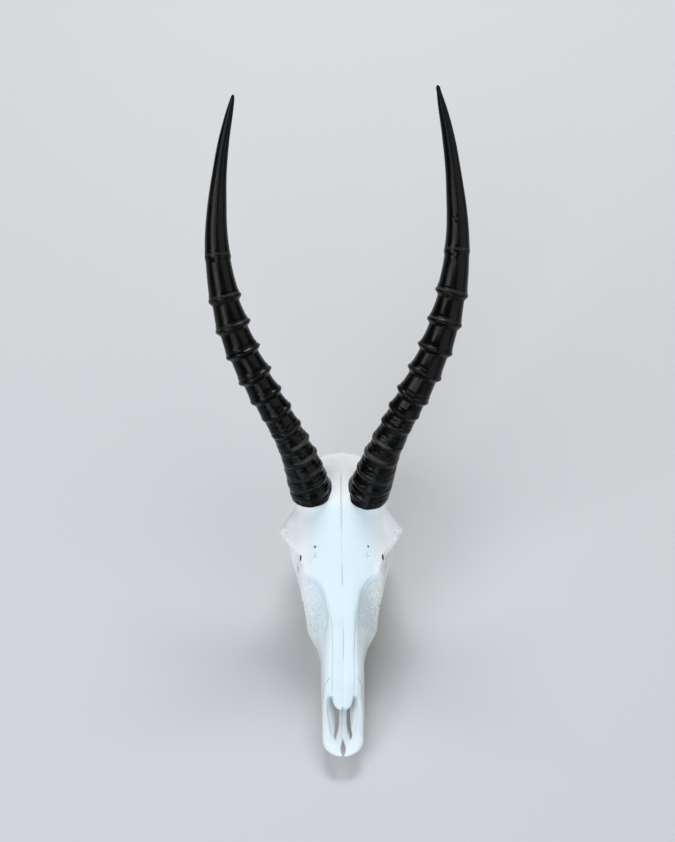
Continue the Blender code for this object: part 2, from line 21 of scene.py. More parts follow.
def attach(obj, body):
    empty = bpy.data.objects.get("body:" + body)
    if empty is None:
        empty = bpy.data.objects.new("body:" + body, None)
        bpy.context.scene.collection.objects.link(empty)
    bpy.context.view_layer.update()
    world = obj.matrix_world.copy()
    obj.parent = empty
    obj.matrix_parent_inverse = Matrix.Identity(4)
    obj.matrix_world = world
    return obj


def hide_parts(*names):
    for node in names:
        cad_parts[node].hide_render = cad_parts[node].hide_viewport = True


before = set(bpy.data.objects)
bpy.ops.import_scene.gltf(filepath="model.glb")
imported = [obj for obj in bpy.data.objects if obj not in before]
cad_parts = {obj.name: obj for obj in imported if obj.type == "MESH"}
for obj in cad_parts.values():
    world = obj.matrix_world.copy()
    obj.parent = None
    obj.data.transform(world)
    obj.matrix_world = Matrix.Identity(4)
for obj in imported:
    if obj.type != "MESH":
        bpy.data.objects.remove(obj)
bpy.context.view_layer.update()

log = logging.getLogger("blesbok_skull")

MM = 0.001
CENTRE = np.array([-2.15, 229.755, 0.0])
RANDOM_SEED = 20417
NOISE_CELLS = 32
TINY = 1e-9

Array = np.ndarray
Stations = tuple[tuple[float, ...], ...]
Span = tuple[float, float]
Stops = tuple[float, float, float, float]
Place = tuple[float, float, float]
Colour = tuple[float, float, float, float]
Grid = tuple[Array, Array, Array]


class Side(Enum):
    """Side of the head, as seen by someone who faces the nose."""

    LEFT = -1.0
    RIGHT = 1.0

    @property
    def word(self) -> str:
        """The side's name in lower case."""
        return self.name.lower()

    @property
    def flip(self) -> Array:
        """What turns the right side's places into this side's, and back."""
        return np.array([self.value, 1.0, 1.0])


class Slot(Enum):
    """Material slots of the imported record."""

    BONE = "bone"
    HORN = "horn"
    TOOTH = "tooth"


# ---- curves and noise ----


def cubic_curve(at: Array, xs: Array, ys: Array) -> Array:
    """Reads a smooth curve through points.

    Between two points the value is the Hermite cubic whose end slopes are the centred
    differences of the points on either side.

    Args:
        at: places to read.
        xs: rising places of the points.
        ys: values at the points.

    Returns:
        The curve's value at each place, in the shape of at.
    """
    slopes = np.gradient(ys, xs)
    i = np.clip(np.searchsorted(xs, at, side="right") - 1, 0, len(xs) - 2)
    width = xs[i + 1] - xs[i]
    t = np.clip((at - xs[i]) / width, 0.0, 1.0)
    start = (1 + 2 * t) * (1 - t) ** 2 * ys[i] + t * (1 - t) ** 2 * width * slopes[i]
    end = t * t * (3 - 2 * t) * ys[i + 1] - t * t * (1 - t) * width * slopes[i + 1]
    return start + end


def read_stations(at: Array, stations: Stations) -> list[Array]:
    """Reads every column after the first of a station list at the places in at."""
    table = np.asarray(stations, float)
    return [cubic_curve(at, table[:, 0], column) for column in table[:, 1:].T]


def straight(at: Array, stations: Stations) -> Array:
    """Reads a list of (place, value) stations, with straight lines between them."""
    return np.interp(at, *np.asarray(stations, float).T)


def ramp(value: Array, low: float, high: float) -> Array:
    """Smooth step from 0 at low to 1 at high: three squares of the way less two cubes of it."""
    t = np.clip((value - low) / (high - low), 0.0, 1.0)
    return t * t * (3 - 2 * t)


def band(value: Array, stops: Stops | Span) -> Array:
    """Smooth step up between two stops, and down again between two more where there are four."""
    rise = ramp(value, *stops[:2])
    return rise * (1 - ramp(value, *stops[2:])) if len(stops) > 2 else rise


def bump(value: Array, centre: float, width: float) -> Array:
    """Bell curve: e to minus the square of the way from the centre, counted in widths."""
    return np.exp(-(((value - centre) / width) ** 2))


def blend_corners(values: Array, cell: Array, t: Array) -> Array:
    """Blends the eight values round each point, each weighted by how near it is on every axis.

    Args:
        values: a block of values, which repeats past its ends.
        cell: (n, 3) lowest corner of the cell that each point is in.
        t: (n, 3) shares of the way across it.

    Returns:
        One value for each point.
    """
    share = np.stack([1 - t, t])
    corner = np.stack([cell, cell + 1]) % values.shape
    total = np.zeros(len(t))
    for i, j, k in itertools.product((0, 1), repeat=3):
        weight = share[i, :, 0] * share[j, :, 1] * share[k, :, 2]
        total += weight * values[corner[i, :, 0], corner[j, :, 1], corner[k, :, 2]]
    return total


def lattice_noise(points: Array, scale: float | Place, seed: int) -> Array:
    """Smooth noise: random values on a repeating cubic lattice, joined by smooth steps.

    Args:
        points: an (n, 3) array.
        scale: size of a lattice cell, one number or one for each axis.
        seed: picks the random values.

    Returns:
        One value from -1 to 1 for each point.
    """
    values = np.random.default_rng(RANDOM_SEED + seed).uniform(-1, 1, (NOISE_CELLS,) * 3)
    q = points / np.asarray(scale)
    cell = np.floor(q).astype(int)
    return blend_corners(values, cell, ramp(q - cell, 0.0, 1.0))


# ---- meshes ----


def in_scene(points: Array) -> Array:
    """Turns skull millimetres into scene metres: a thousandth of the way from the centre."""
    return (np.asarray(points, float) - CENTRE) * MM


def put_corners(mesh: Mesh, points: Array) -> None:
    """Puts skull millimetres into a mesh's corners."""
    mesh.vertices.foreach_set("co", in_scene(points).astype(np.float32).ravel())


def new_mesh(name: str, points: Array, quads: Array) -> Mesh:
    """Makes a smooth-shaded mesh of four-sided faces.

    Args:
        name: the mesh's name.
        points: (n, 3) corners in skull millimetres.
        quads: (m, 4) corner numbers, anticlockwise from outside.

    Returns:
        The new mesh, in scene metres.
    """
    mesh = bpy.data.meshes.new(name)
    mesh.vertices.add(len(points))
    put_corners(mesh, points)
    mesh.loops.add(quads.size)
    mesh.polygons.add(len(quads))
    mesh.polygons.foreach_set("loop_start", np.arange(0, quads.size, 4, dtype=np.int32))
    mesh.polygons.foreach_set("vertices", quads.astype(np.int32).ravel())
    mesh.update(calc_edges=True)
    mesh.validate()
    mesh.shade_smooth()
    return mesh


def new_object(name: str, data: ID) -> Object:
    """Makes an object of a mesh, camera or light, at the origin.

    Args:
        name: the object's name.
        data: what it shows.

    Returns:
        The new object, in the scene's collection.
    """
    made = bpy.data.objects.new(name, data)
    bpy.context.scene.collection.objects.link(made)
    return made


def stand_for(piece: Object, node: str) -> Object:
    """Hides the CAD node that a piece replaces and hangs the piece on the root body.

    Args:
        piece: the finished piece.
        node: the CAD node's name.

    Returns:
        The piece.
    """
    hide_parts(node)
    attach(piece, "root")
    return piece


def corners_and_normals(mesh: Mesh) -> tuple[Array, Array]:
    """Reads a mesh.

    Args:
        mesh: the mesh.

    Returns:
        Its (n, 3) corners in skull millimetres, and their (n, 3) normals.
    """
    read = np.empty((2, len(mesh.vertices) * 3), np.float32)
    mesh.vertices.foreach_get("co", read[0])
    mesh.vertex_normals.foreach_get("vector", read[1])
    corners, normals = read.astype(float).reshape(2, -1, 3)
    return corners / MM + CENTRE, normals


def store(mesh: Mesh, **values: Array) -> None:
    """Stores one number or one vector for each corner as a named attribute.

    Args:
        mesh: the mesh to write on.
        values: (n,) or (n, 3) arrays by attribute name.
    """
    for name, value in values.items():
        kind, key = ("FLOAT", "value") if value.ndim == 1 else ("FLOAT_VECTOR", "vector")
        attribute = mesh.attributes.new(name, kind, "POINT")
        attribute.data.foreach_set(key, value.astype(np.float32).ravel())


def tube_quads(rows: int, around: int) -> Array:
    """Faces of a closed tube grid.

    Args:
        rows: corner rings along the tube.
        around: corners in each ring.

    Returns:
        (m, 4) corner numbers: each corner, the next round, and the same two one ring on.
    """
    row, column = np.meshgrid(np.arange(rows - 1), np.arange(around), indexing="ij")
    beside = (column + 1) % around
    quads = [row * around + column, row * around + beside,
             (row + 1) * around + beside, (row + 1) * around + column]
    return np.stack(quads, axis=-1).reshape(-1, 4)


def close_tube(mesh: Mesh, weld: float = 1e-6) -> None:
    """Welds the pole rings of a tube grid to points and turns its faces outwards.

    Args:
        mesh: the tube, changed in place.
        weld: corners nearer than this become one.
    """
    bm = bmesh.new()
    bm.from_mesh(mesh)
    bmesh.ops.remove_doubles(bm, verts=bm.verts, dist=weld)
    bmesh.ops.recalc_face_normals(bm, faces=bm.faces)
    bm.to_mesh(mesh)
    bm.free()


# ---- distances to shapes ----


def ellipsoid_distance(at: Grid, centre: Array, radii: Array) -> Array:
    """Nearly the distance to an ellipsoid.

    With k the length of the offset over the radii, and m that of the offset over their
    squares, it is k times (k less 1) over m.

    Args:
        at: x, s and z of the places.
        centre: the ellipsoid's middle.
        radii: its half axes.

    Returns:
        Signed distances, negative inside.
    """
    offsets = [place - middle for place, middle in zip(at, centre)]
    k = np.sqrt(sum((p / r) ** 2 for p, r in zip(offsets, radii)))
    m = np.sqrt(sum((p / r ** 2) ** 2 for p, r in zip(offsets, radii)))
    return k * (k - 1) / np.maximum(m, 1e-6)


def bar_distance(at: Grid, bar: Array, steps: int = 4) -> Array:
    """Distance to a bar: that to the nearest stretch of its middle, less its half thickness.

    Args:
        at: x, s and z of the places.
        bar: rows of (x, s, z, half thickness).
        steps: straight stretches between two rows.

    Returns:
        Signed distances, negative inside.
    """
    along = np.linspace(0, len(bar) - 1, steps * (len(bar) - 1) + 1)
    curve = np.stack([cubic_curve(along, np.arange(len(bar)), c) for c in bar.T], axis=1)
    nearest = np.inf
    for start, end in zip(curve, curve[1:]):
        run = end[:3] - start[:3]
        offsets = [place - first for place, first in zip(at, start)]
        t = np.clip(sum(p * r for p, r in zip(offsets, run)) / (run @ run), 0.0, 1.0)
        off = np.sqrt(sum((p - t * r) ** 2 for p, r in zip(offsets, run)))
        nearest = np.minimum(nearest, off - (start[3] + t * (end[3] - start[3])))
    return nearest


def box_distance(x: Array, z: Array, half_width: Array, low: Array, high: Array,
                 power: float) -> Array:
    """Nearly the distance to a rounded box.

    Each offset over its half size is raised to the power. The root of their sum, less 1,
    is scaled by the lesser half size.

    Args:
        x: places out from the box's middle.
        z: heights.
        half_width: half its width.
        low: its bottom.
        high: its top.
        power: 2 for an ellipse, more for squarer corners.

    Returns:
        Signed distances, negative inside.
    """
    half_height = (high - low) / 2
    q = np.abs(x / half_width) ** power + np.abs((z - (high + low) / 2) / half_height) ** power
    return (q ** (1 / power) - 1) * np.minimum(half_width, half_height)


def outline_distance(x: Array, z: Array, outline: Array) -> Array:
    """Signed distance from points to an open outline that ends on the midline at both ends.

    The size is that to the nearest stretch. The sign is negative where a line drawn away
    from the midline crosses the outline an odd number of times.

    Args:
        x: (n,) distances out from the midline.
        z: (n,) heights.
        outline: (m, 2) corners from the top of the midline to its bottom.

    Returns:
        (n,) signed distances.
    """
    start, run = outline[:-1, None, :], np.diff(outline, axis=0)[:, None, :]
    dx, dz = x[None] - start[..., 0], z[None] - start[..., 1]
    t = (dx * run[..., 0] + dz * run[..., 1]) / np.maximum((run ** 2).sum(axis=-1), TINY)
    t = np.clip(t, 0.0, 1.0)
    off = np.sqrt(((dx - t * run[..., 0]) ** 2 + (dz - t * run[..., 1]) ** 2).min(axis=0))
    spans = (dz >= 0) != (z[None] - outline[1:, None, 1] >= 0)
    rise = np.where(np.abs(run[..., 1]) < TINY, TINY, run[..., 1])
    crossing = start[..., 0] + dz / rise * run[..., 0] > x[None]
    inside = (spans & crossing).sum(axis=0) % 2 == 1
    return np.where(inside, -off, off)


# ---- a solid as a distance field ----


@dataclass
class Lattice:
    """Signed distances to the right half of a mirrored solid, negative inside.

    The block runs from low, an (s, z), to high, an (x, s, z), and starts out empty.
    """

    step: float
    low: Span = (-3.0, -3.0)
    high: Place = (63.0, 303.0, 125.0)
    empty: float = 50.0
    x: Array = field(init=False)
    s: Array = field(init=False)
    z: Array = field(init=False)
    values: Array = field(init=False)

    def __post_init__(self) -> None:
        """Lays out the points; the first layer in x lies half a step past the midline."""
        self.x = np.arange(-0.5, self.high[0] / self.step, 1.0) * self.step
        self.s = np.arange(self.low[0], self.high[1], self.step)
        self.z = np.arange(self.low[1], self.high[2], self.step)
        shape = (len(self.x), len(self.s), len(self.z))
        self.values = np.full(shape, self.empty, np.float32)

    @property
    def origin(self) -> Array:
        """The block's first point."""
        return np.array([self.x[0], self.s[0], self.z[0]])

    def window(self, low: Array | Place, high: Array | Place) -> tuple:
        """Finds the part of the block between two corners.

        Args:
            low: lowest (x, s, z) wanted.
            high: highest (x, s, z) wanted.

        Returns:
            Index slices, and x, s and z shaped so that they spread over that part.
        """
        axes = (self.x, self.s, self.z)
        cut = tuple(slice(*np.searchsorted(axis, ends)) for axis, ends in zip(axes, zip(low, high)))
        return cut, np.ix_(*(axis[part] for axis, part in zip(axes, cut)))

    def beside(self, stations: Stations, low: Span, high: Span) -> tuple:
        """Finds the part of the block along a station list, and reads the list there.

        Args:
            stations: rows that start with s.
            low: lowest (x, z) wanted.
            high: highest (x, z) wanted.

        Returns:
            What window gives, then the list's other columns at each s.
        """
        first, last = stations[0][0], stations[-1][0]
        cut, at = self.window((low[0], first, low[1]), (high[0], last, high[1]))
        return cut, at, *read_stations(at[1], stations)

    def join(self, cut: tuple, distance: Array, blend: float) -> None:
        """Adds a shape: the lesser of both distances, less still where they are within blend.

        Args:
            cut: index slices of the part to change.
            distance: distances to the shape there.
            blend: how far from the edge between both it is rounded.
        """
        here = self.values[cut]
        h = np.maximum(blend - np.abs(here - distance), 0.0) / blend
        self.values[cut] = np.minimum(here, distance) - h * h * blend / 4

    def carve(self, cut: tuple, distance: Array, blend: float) -> None:
        """Takes a shape away, which is to join it to the space outside the solid.

        Args:
            cut: index slices of the part to change.
            distance: distances to the shape there.
            blend: how far the new edge is rounded.
        """
        self.values[cut] *= -1
        self.join(cut, distance, blend)
        self.values[cut] *= -1

    def join_bar(self, bar: Stations, blend: float, margin: float = 10.0) -> None:
        """Joins on a bar.

        Args:
            bar: rows of (x, s, z, half thickness).
            blend: how far its foot is rounded.
            margin: how far beyond it the field changes.
        """
        table = np.asarray(bar, float)
        reach = table[:, 3].max() + margin
        cut, at = self.window(table[:, :3].min(0) - reach, table[:, :3].max(0) + reach)
        self.join(cut, bar_distance(at, table), blend)

    def shape_round(self, act: Callable, shape: tuple, blend: float, margin: float = 8.0) -> None:
        """Joins on or carves out an ellipsoid.

        Args:
            act: this lattice's join or carve.
            shape: its centre and its half axes.
            blend: how far its edge is rounded.
            margin: how far beyond it the field changes.
        """
        centre, radii = np.array(shape, float)
        reach = radii + margin
        cut, at = self.window(centre - reach, centre + reach)
        act(cut, ellipsoid_distance(at, centre, radii), blend)

    def read(self, points: Array) -> Array:
        """Reads the field at (n, 3) points.

        Args:
            points: places on either side of the midline, in skull millimetres.

        Returns:
            One distance for each point, blended from the eight nearest.
        """
        mirrored = np.column_stack([np.abs(points[:, 0]), points[:, 1:]])
        q = (mirrored - self.origin) / self.step
        cell = np.clip(np.floor(q).astype(int), 0, np.array(self.values.shape) - 2)
        return blend_corners(self.values, cell, np.clip(q - cell, 0.0, 1.0))

    def skin(self) -> tuple[Array, Array]:
        """Draws the surface where the distance is zero, on both sides of the midline.

        Each cell that the surface crosses gets one corner, at the mean of the places where
        its edges cross it. Each crossed edge joins the corners of its four cells.

        Returns:
            (n, 3) corners in skull millimetres and (m, 4) faces.
        """
        self.values[0] = self.values[1]
        shape = np.array(self.values.shape) - 1
        cells, places, quads = [], [], []
        units = np.eye(3, dtype=int)
        for axis, unit in enumerate(units):
            edge = np.argwhere(np.diff(self.values < 0, axis=axis))
            a, b = self.values[tuple(edge.T)], self.values[tuple((edge + unit).T)]
            place = edge + unit * (a / (a - b))[:, None]
            across, over = units[(axis + 1) % 3], units[(axis + 2) % 3]
            around = []
            for one, two in ((-1, -1), (0, -1), (0, 0), (-1, 0)):
                cell = edge + one * across + two * over
                real = ((cell >= 0) & (cell < shape)).all(axis=1)
                number = np.ravel_multi_index(np.clip(cell, 0, shape - 1).T, shape)
                number = np.where(real, number, -1)
                cells.append(number[real])
                places.append(place[real])
                around.append(number)
            quad = np.stack(around, axis=1)
            quad = np.where((a < 0)[:, None], quad, quad[:, ::-1])
            quads.append(quad[(quad >= 0).all(axis=1)])
        numbers, index = np.unique(np.concatenate(cells), return_inverse=True)
        placed = np.concatenate(places)
        count = np.bincount(index)
        corners = np.stack([np.bincount(index, column) / count for column in placed.T], axis=1)
        corners = corners * self.step + self.origin
        faces = np.searchsorted(numbers, np.concatenate(quads))
        middle = numbers < shape[1] * shape[2]
        corners[middle, 0] = 0.0
        twin = np.where(middle, np.arange(len(corners)), len(corners) + np.cumsum(~middle) - 1)
        other_half = corners[~middle] * Side.LEFT.flip
        return np.vstack([corners, other_half]), np.vstack([faces, twin[faces][:, ::-1]])


# ---- the skull bone ----


@dataclass(frozen=True)
class Seat:
    """The flat on the bone that a horn stands on, mirrored to the right, and the room round it.

    The room widens by flare for each millimetre of height, and bone in its outer shell is
    pushed out of it.
    """

    base: Array
    axis: Array
    radius: float
    flare: float = 0.2
    widest: float = 21.2
    shell: float = 4.5

    def around(self, at: Grid) -> tuple[Array, Array]:
        """Places as seen from the flat.

        Args:
            at: their x, s and z.

        Returns:
            Height over the flat, and distance from its axis.
        """
        offsets = [place - middle for place, middle in zip(at, self.base)]
        height = sum(p * along for p, along in zip(offsets, self.axis))
        off_axis = sum(p ** 2 for p in offsets) - height ** 2
        return height, np.sqrt(np.maximum(off_axis, 0.0))

    def wall(self, height: Array) -> Array:
        """Radius of the room at a height over the flat."""
        return np.minimum(self.radius + self.flare * np.maximum(height, 0.0), self.widest)

    def make_room(self, points: Array, side: Side) -> Array:
        """Pushes the bone beside this horn out to the room's wall.

        Args:
            points: (n, 3) corners of the whole bone.
            side: the horn's side.

        Returns:
            The corners, with those in the room's outer shell moved away from its axis.
        """
        mirrored = points * side.flip
        height, off_axis = self.around(mirrored.T)
        wall = self.wall(height)
        in_shell = (off_axis < wall) & (off_axis > wall - self.shell)
        short = (height > 0.0) & in_shell & (mirrored[:, 0] > 0)
        spokes = mirrored - self.base - height[:, None] * self.axis
        push = np.where(short, wall / np.maximum(off_axis, 1.0) - 1.0, 0.0)
        return (mirrored + spokes * push[:, None]) * side.flip


@dataclass(frozen=True)
class Form:
    """A ridge or groove of the bone, with a bell curve of that middle and width across it.

    Along is the stops in s that it shows between, or the middle and width of a bell curve,
    and it fades in between the two heights in above.
    """

    height: float
    middle: float
    width: float
    along: Stops | Span
    above: Span = (-2.0, -1.0)

    def lift(self, aside: Array, s: Array, z: Array) -> Array:
        """How far it raises the bone at s and z, with aside the measure across it."""
        shown = band(s, self.along) if len(self.along) > 2 else bump(s, *self.along)
        return self.height * bump(aside, self.middle, self.width) * shown * ramp(z, *self.above)


class Patch:
    """A part of the bone: how strongly it counts, and the stops that its measures lie between."""

    def __init__(self, strength: float = 1.0, **stops: Stops | Span) -> None:
        """Keeps the strength, and the stops by the name of the measure."""
        self.strength, self.stops = strength, stops


@dataclass(frozen=True)
class Whereabouts:
    """Where the bone's corners lie, by measure.

    They are s and z, the way out from the middle plane (x) and from the bent midline (out),
    how far the bone faces up and sideways, how enclosed it is and how far in the fossa.
    """

    s: Array
    z: Array
    x: Array
    out: Array
    up: Array
    sideways: Array
    enclosed: Array | None = None
    in_fossa: Array | None = None

    def within(self, *patches: Patch) -> Array:
        """Adds up patches.

        Args:
            patches: the parts of the bone to look at.

        Returns:
            The sum of each one's strength, less outside its stops, for every corner.
        """
        return sum(patch.strength * math.prod(band(getattr(self, name), stops)
                                              for name, stops in patch.stops.items())
                   for patch in patches)


@dataclass(frozen=True)
class Fossa:
    """The hollow in front of the eye, with netted ridges and waves on its floor.

    Its border is a list of (out, s) corners from the eye to the nose's side. Heights are
    those above the surface, and the pairs and stops are where each part fades in and out.
    """

    border: Stations = (
        (40, 148.6), (36, 148.6), (29.5, 148), (23.6, 144.4), (17.8, 135.4), (14.2, 126.5),
        (12.6, 117), (12.6, 106), (13, 90),
    )
    far: float = 50.0
    heights: Stops = (38, 46, 86, 92)
    start: Span = (98, 116)
    depth: float = 1.9
    slope: Span = (-1.0, 5.5)
    outer_end: Span = (26, 40)
    lip: tuple[float, float, float] = (0.35, -1.2, 1.2)
    drift_cell: float = 5.0
    drift: float = 2.2
    crinkle_drift: float = 1.6
    net_cell: Place = (2.6, 4.2, 3.0)
    crinkle_cell: Place = (1.7, 2.6, 1.9)
    net_height: float = 1.6
    net_share: float = 0.62
    net_width: float = 0.34
    crinkle_share: float = 0.38
    crinkle_width: float = 0.4
    net_sunk: float = 0.35
    net_from: Span = (2.5, 6.0)
    net_along: Stops = (102, 114, 136, 150)
    wave_height: float = 0.62
    wave_turn: float = 1.7
    wave_sway: float = 2.4
    wave_cell: float = 11.0
    wave_within: Span = (4.0, 4.5)
    wave_from: Span = (112, 124)

    def within(self, out: Array, s: Array) -> Array:
        """Signed distance into the hollow, seen from above.

        Args:
            out: distances out from the bent midline.
            s: places back from the nose.

        Returns:
            Distances to the nearest stretch of the border, positive within it.
        """
        corners = np.asarray(self.border, float)
        nearest = np.full(len(out), self.far)
        for start, end in zip(corners, corners[1:]):
            run = end - start
            along = ((out - start[0]) * run[0] + (s - start[1]) * run[1]) / (run @ run)
            t = np.clip(along, 0.0, 1.0)
            off = np.hypot(out - start[0] - t * run[0], s - start[1] - t * run[1])
            nearest = np.minimum(nearest, off)
        edge = np.interp(s, corners[::-1, 1], corners[::-1, 0])
        return np.where((out > edge) & (s < corners[0, 1]), nearest, -nearest)

    def lift(self, points: Array, within: Array) -> Array:
        """How far the hollow raises the bone: its lip and netting, less its depth.

        The netting stands where smooth noise crosses zero, and the waves are a sine of the
        distance in from the border, both swayed by more noise.

        Args:
            points: (n, 3) corners of the bone.
            within: (n,) distances into the hollow.

        Returns:
            One height for each corner.
        """
        x, s, z = points.T
        side = band(z, self.heights)
        length = ramp(s, *self.start) * side
        hollow = self.depth * ramp(within, *self.slope) * (1 - ramp(np.abs(x), *self.outer_end))
        lip = self.lip[0] * bump(within, *self.lip[1:])
        drift = [lattice_noise(points, self.drift_cell, seed) for seed in (31, 32, 33)]
        drift = np.stack(drift, axis=1) * self.drift
        netting = np.abs(lattice_noise(points + drift, self.net_cell, 34))
        crinkle = lattice_noise(points + self.crinkle_drift * drift, self.crinkle_cell, 35)
        ridges = (self.net_share * (1 - ramp(netting, 0.0, self.net_width))
                  + self.crinkle_share * (1 - ramp(np.abs(crinkle), 0.0, self.crinkle_width))
                  - self.net_sunk)
        rough = ramp(within, *self.net_from) * band(s, self.net_along) * side
        sway = self.wave_sway * lattice_noise(points, self.wave_cell, 36)
        waves = self.wave_height * np.sin(within * self.wave_turn + sway)
        waves *= bump(within, *self.wave_within) * ramp(s, *self.wave_from)
        return (lip - hollow + waves) * length + self.net_height * ridges * rough


@dataclass
class Cranium:
    """The bone of the skull: one smooth solid, hollowed out and then dressed with fine relief.

    Ridge lines are (s, x, z); bars are (x, s, z, half thickness); channels are
    (s, half width, low z, high z); slots are (s, inner x, outer x); round shapes are a
    centre and three half axes. Windows are the lowest and the highest (x, z) of a part of the
    lattice, and patches say where on the bone a tint, painted shade, a seam or some roughness
    shows.
    """

    step: float = 0.65
    crest: Stations = (
        (0, 0, 20), (12, 0, 22), (25, 0, 31), (38, 0, 43), (50, 0, 54), (70, 0, 62), (90, 0, 70),
        (110, 0, 77.5), (130, 0, 85), (150, 0, 92.5), (165, 0, 99), (180, 0, 105.5), (195, 0, 111),
        (206, 0, 115), (218, 0, 117.5), (232, 0, 119), (245, 0, 118), (258, 0, 113), (270, 0, 105),
        (279, 0, 95), (286, 0, 83), (291, 0, 70),
    )
    plateau_edge: Stations = (
        (0, 14, 20), (12, 15, 22), (38, 15, 43), (50, 13.5, 53.5), (90, 12, 68.5),
        (120, 13.5, 79.5), (140, 18, 87), (150, 25.5, 91.4), (158, 30, 94.6), (175, 36, 100),
        (190, 44, 104), (205, 40.5, 109), (218, 35, 112), (232, 21, 114), (258, 17, 108),
        (279, 15, 90), (291, 10, 67),
    )
    brow: Stations = (
        (0, 18, 19), (12, 18.4, 20), (38, 19, 37), (50, 18.2, 46), (90, 18, 58), (120, 17.5, 66),
        (130, 19, 70), (140, 24.6, 74.6), (145.5, 31.6, 81), (149.6, 36, 88), (157, 37.8, 90),
        (163, 39.6, 91), (169, 41.2, 92), (174, 46.4, 93), (180, 51.4, 94.4), (186, 55, 95.6),
        (191, 57.4, 96.5), (196, 56.6, 95.5), (203, 51, 97), (211, 44, 100), (220, 40.5, 101),
        (232, 30, 101), (258, 28, 97), (279, 25, 79), (291, 20, 61),
    )
    cheek: Stations = (
        (0, 19.2, 17.8), (12, 19.2, 18), (43, 19.6, 28), (64, 20.4, 34), (86, 20.8, 40),
        (100, 25, 40), (112, 31, 39), (119, 33.4, 38.5), (126, 34, 41), (142, 37, 50),
        (160, 40.6, 55), (172, 42.4, 57), (182, 40, 60), (191, 36, 66), (202, 32, 76),
        (218, 32, 82), (250, 33.5, 84), (270, 31, 76), (284, 27, 63), (291, 22, 55),
    )
    flank: Stations = (
        (0, 18.4, 16.4), (12, 18.2, 16.2), (43, 18, 20), (86, 18.6, 26), (104, 23, 25),
        (120, 28, 26), (142, 32, 32), (160, 34, 36), (175, 33, 44), (190, 27, 51), (202, 24, 55),
        (218, 27, 62), (234, 30, 64), (250, 31, 62), (270, 28, 58), (291, 18, 45),
    )
    gum_edge: Stations = (
        (0, 15, 15.4), (12, 15, 15.3), (43, 14.5, 14.5), (70, 15.4, 13), (86, 18, 12.5),
        (99, 21, 12.5), (119, 26.6, 12.5), (133, 29, 12.5), (149, 30.2, 12.5), (168, 30.6, 13),
        (174, 27, 19), (180, 22, 32), (190, 19, 42), (215, 17, 48), (250, 18, 44), (275, 16, 38),
        (291, 12, 36),
    )
    palate_edge: Stations = (
        (0, 9, 15.6), (43, 9, 15), (86, 8, 14), (99, 9, 13), (119, 13, 13), (149, 16.5, 13.5),
        (168, 15, 15), (174, 13, 25), (180, 12, 38), (215, 9, 46), (250, 9, 42), (291, 6, 34),
    )
    palate_midline: Stations = (
        (0, 0, 16.2), (43, 0, 16), (70, 0, 17), (90, 0, 19), (120, 0, 22), (150, 0, 24),
        (166, 0, 27), (180, 0, 40), (215, 0, 47), (250, 0, 43), (275, 0, 38), (291, 0, 35),
    )
    front: float = 0.4
    back: float = 291.0
    snout_round: float = 17.0
    snout_mid_z: float = 18.0
    snout_flattest: float = 0.4
    nasals: Stations = (
        (35, 3.4, 46.6), (37, 6.4, 47.6), (40, 8.4, 49.2), (47, 9.8, 52.9), (56, 10, 56.8),
        (70, 10, 62.6), (90, 10.2, 70.4), (110, 11, 77.8), (122, 11.4, 82), (140, 9, 88.4),
        (156, 5, 94.6),
    )
    bend: Stations = (
        (0, 0.4), (40, 0.5), (60, 0.95), (90, 1.15), (115, 1.15), (140, 0.4), (170, 0.1), (291, 0),
    )
    nasal_thickness: float = 3.6
    nose_cavity: Stations = (
        (9, 5, 20.6, 34), (14, 9, 20.8, 40), (22, 11.8, 21, 52), (32, 13.8, 21.2, 64),
        (42, 14.9, 21.6, 70), (46.5, 14.2, 22, 49), (70, 13.4, 23.5, 55), (90, 13.2, 25, 61),
        (120, 14.6, 28, 63), (150, 16.5, 31, 66), (160, 12, 34, 60),
    )
    cavity_floor: float = 8.3
    cavity_lip: float = 1.8
    throat: Stations = ((148, 8, 29, 42), (160, 8.6, 27, 40), (172, 8.6, 24, 37), (184, 8, 20, 36))
    cheek_bar: Stations = (
        (33, 146, 47, 4.2), (39.2, 167, 53.5, 4.4), (43.8, 183, 56.4, 4.6), (46.4, 199, 58.4, 4.5),
        (45.6, 214, 60.5, 4.2), (41.4, 229, 61, 4.6), (34, 241, 61, 6),
    )
    eye_bar: Stations = (
        (53.4, 193, 94, 4), (53, 196.5, 84, 3.6), (50.4, 199, 72, 3.4), (46.6, 201, 59, 4),
    )
    jugular_process: Stations = (
        (26, 274, 60, 8), (28.6, 274, 44, 6.6), (30, 272.5, 24, 5), (29, 269, -4, 3.6),
    )
    horn_pedicle: Stations = ((26, 218, 92, 19), (26.4, 223, 107, 17.6), (27.6, 228, 118, 16.6))
    nape_crest: Stations = ((0, 289, 73, 4), (16, 287, 70, 4), (27, 281, 62, 4.4), (29, 276, 52, 5))
    pterygoid_plate: Stations = (
        (158, 13.4, 2.6, 24, 42), (168, 13, 2.2, 20, 48), (182, 12.4, 2, 22, 52),
        (196, 12, 2, 30, 54), (210, 12, 2.4, 42, 56),
    )
    condyle: tuple = ((13.5, 290, 43), (8.6, 9.6, 13.5))
    bulla: tuple = ((21, 247, 39), (8.5, 13, 11))
    jaw_hinge: tuple = ((36, 232, 56), (10, 10, 5.5))
    eye_socket: tuple = ((49, 178.5, 75.6), (25, 17.4, 15.8))
    temple_hollow: tuple = ((51, 214, 79), (17.5, 14, 17))
    ear_opening: tuple = ((40, 252, 56), (11, 4, 4))
    neck_hole: tuple = ((0, 297, 55), (10.5, 26, 9.5))
    floor_slot: Stations = (
        (15.5, 6.7, 7.3), (20, 5.9, 8.5), (26, 4.5, 8.6), (33, 3.4, 8), (45, 3, 6.8),
        (62, 2.6, 5.6),
    )
    tip_gap: Stations = ((-2, 0.7), (1.5, 0.8), (4, 1.8), (7.5, 2.2), (11.5, 1.5), (16.5, 0.1))
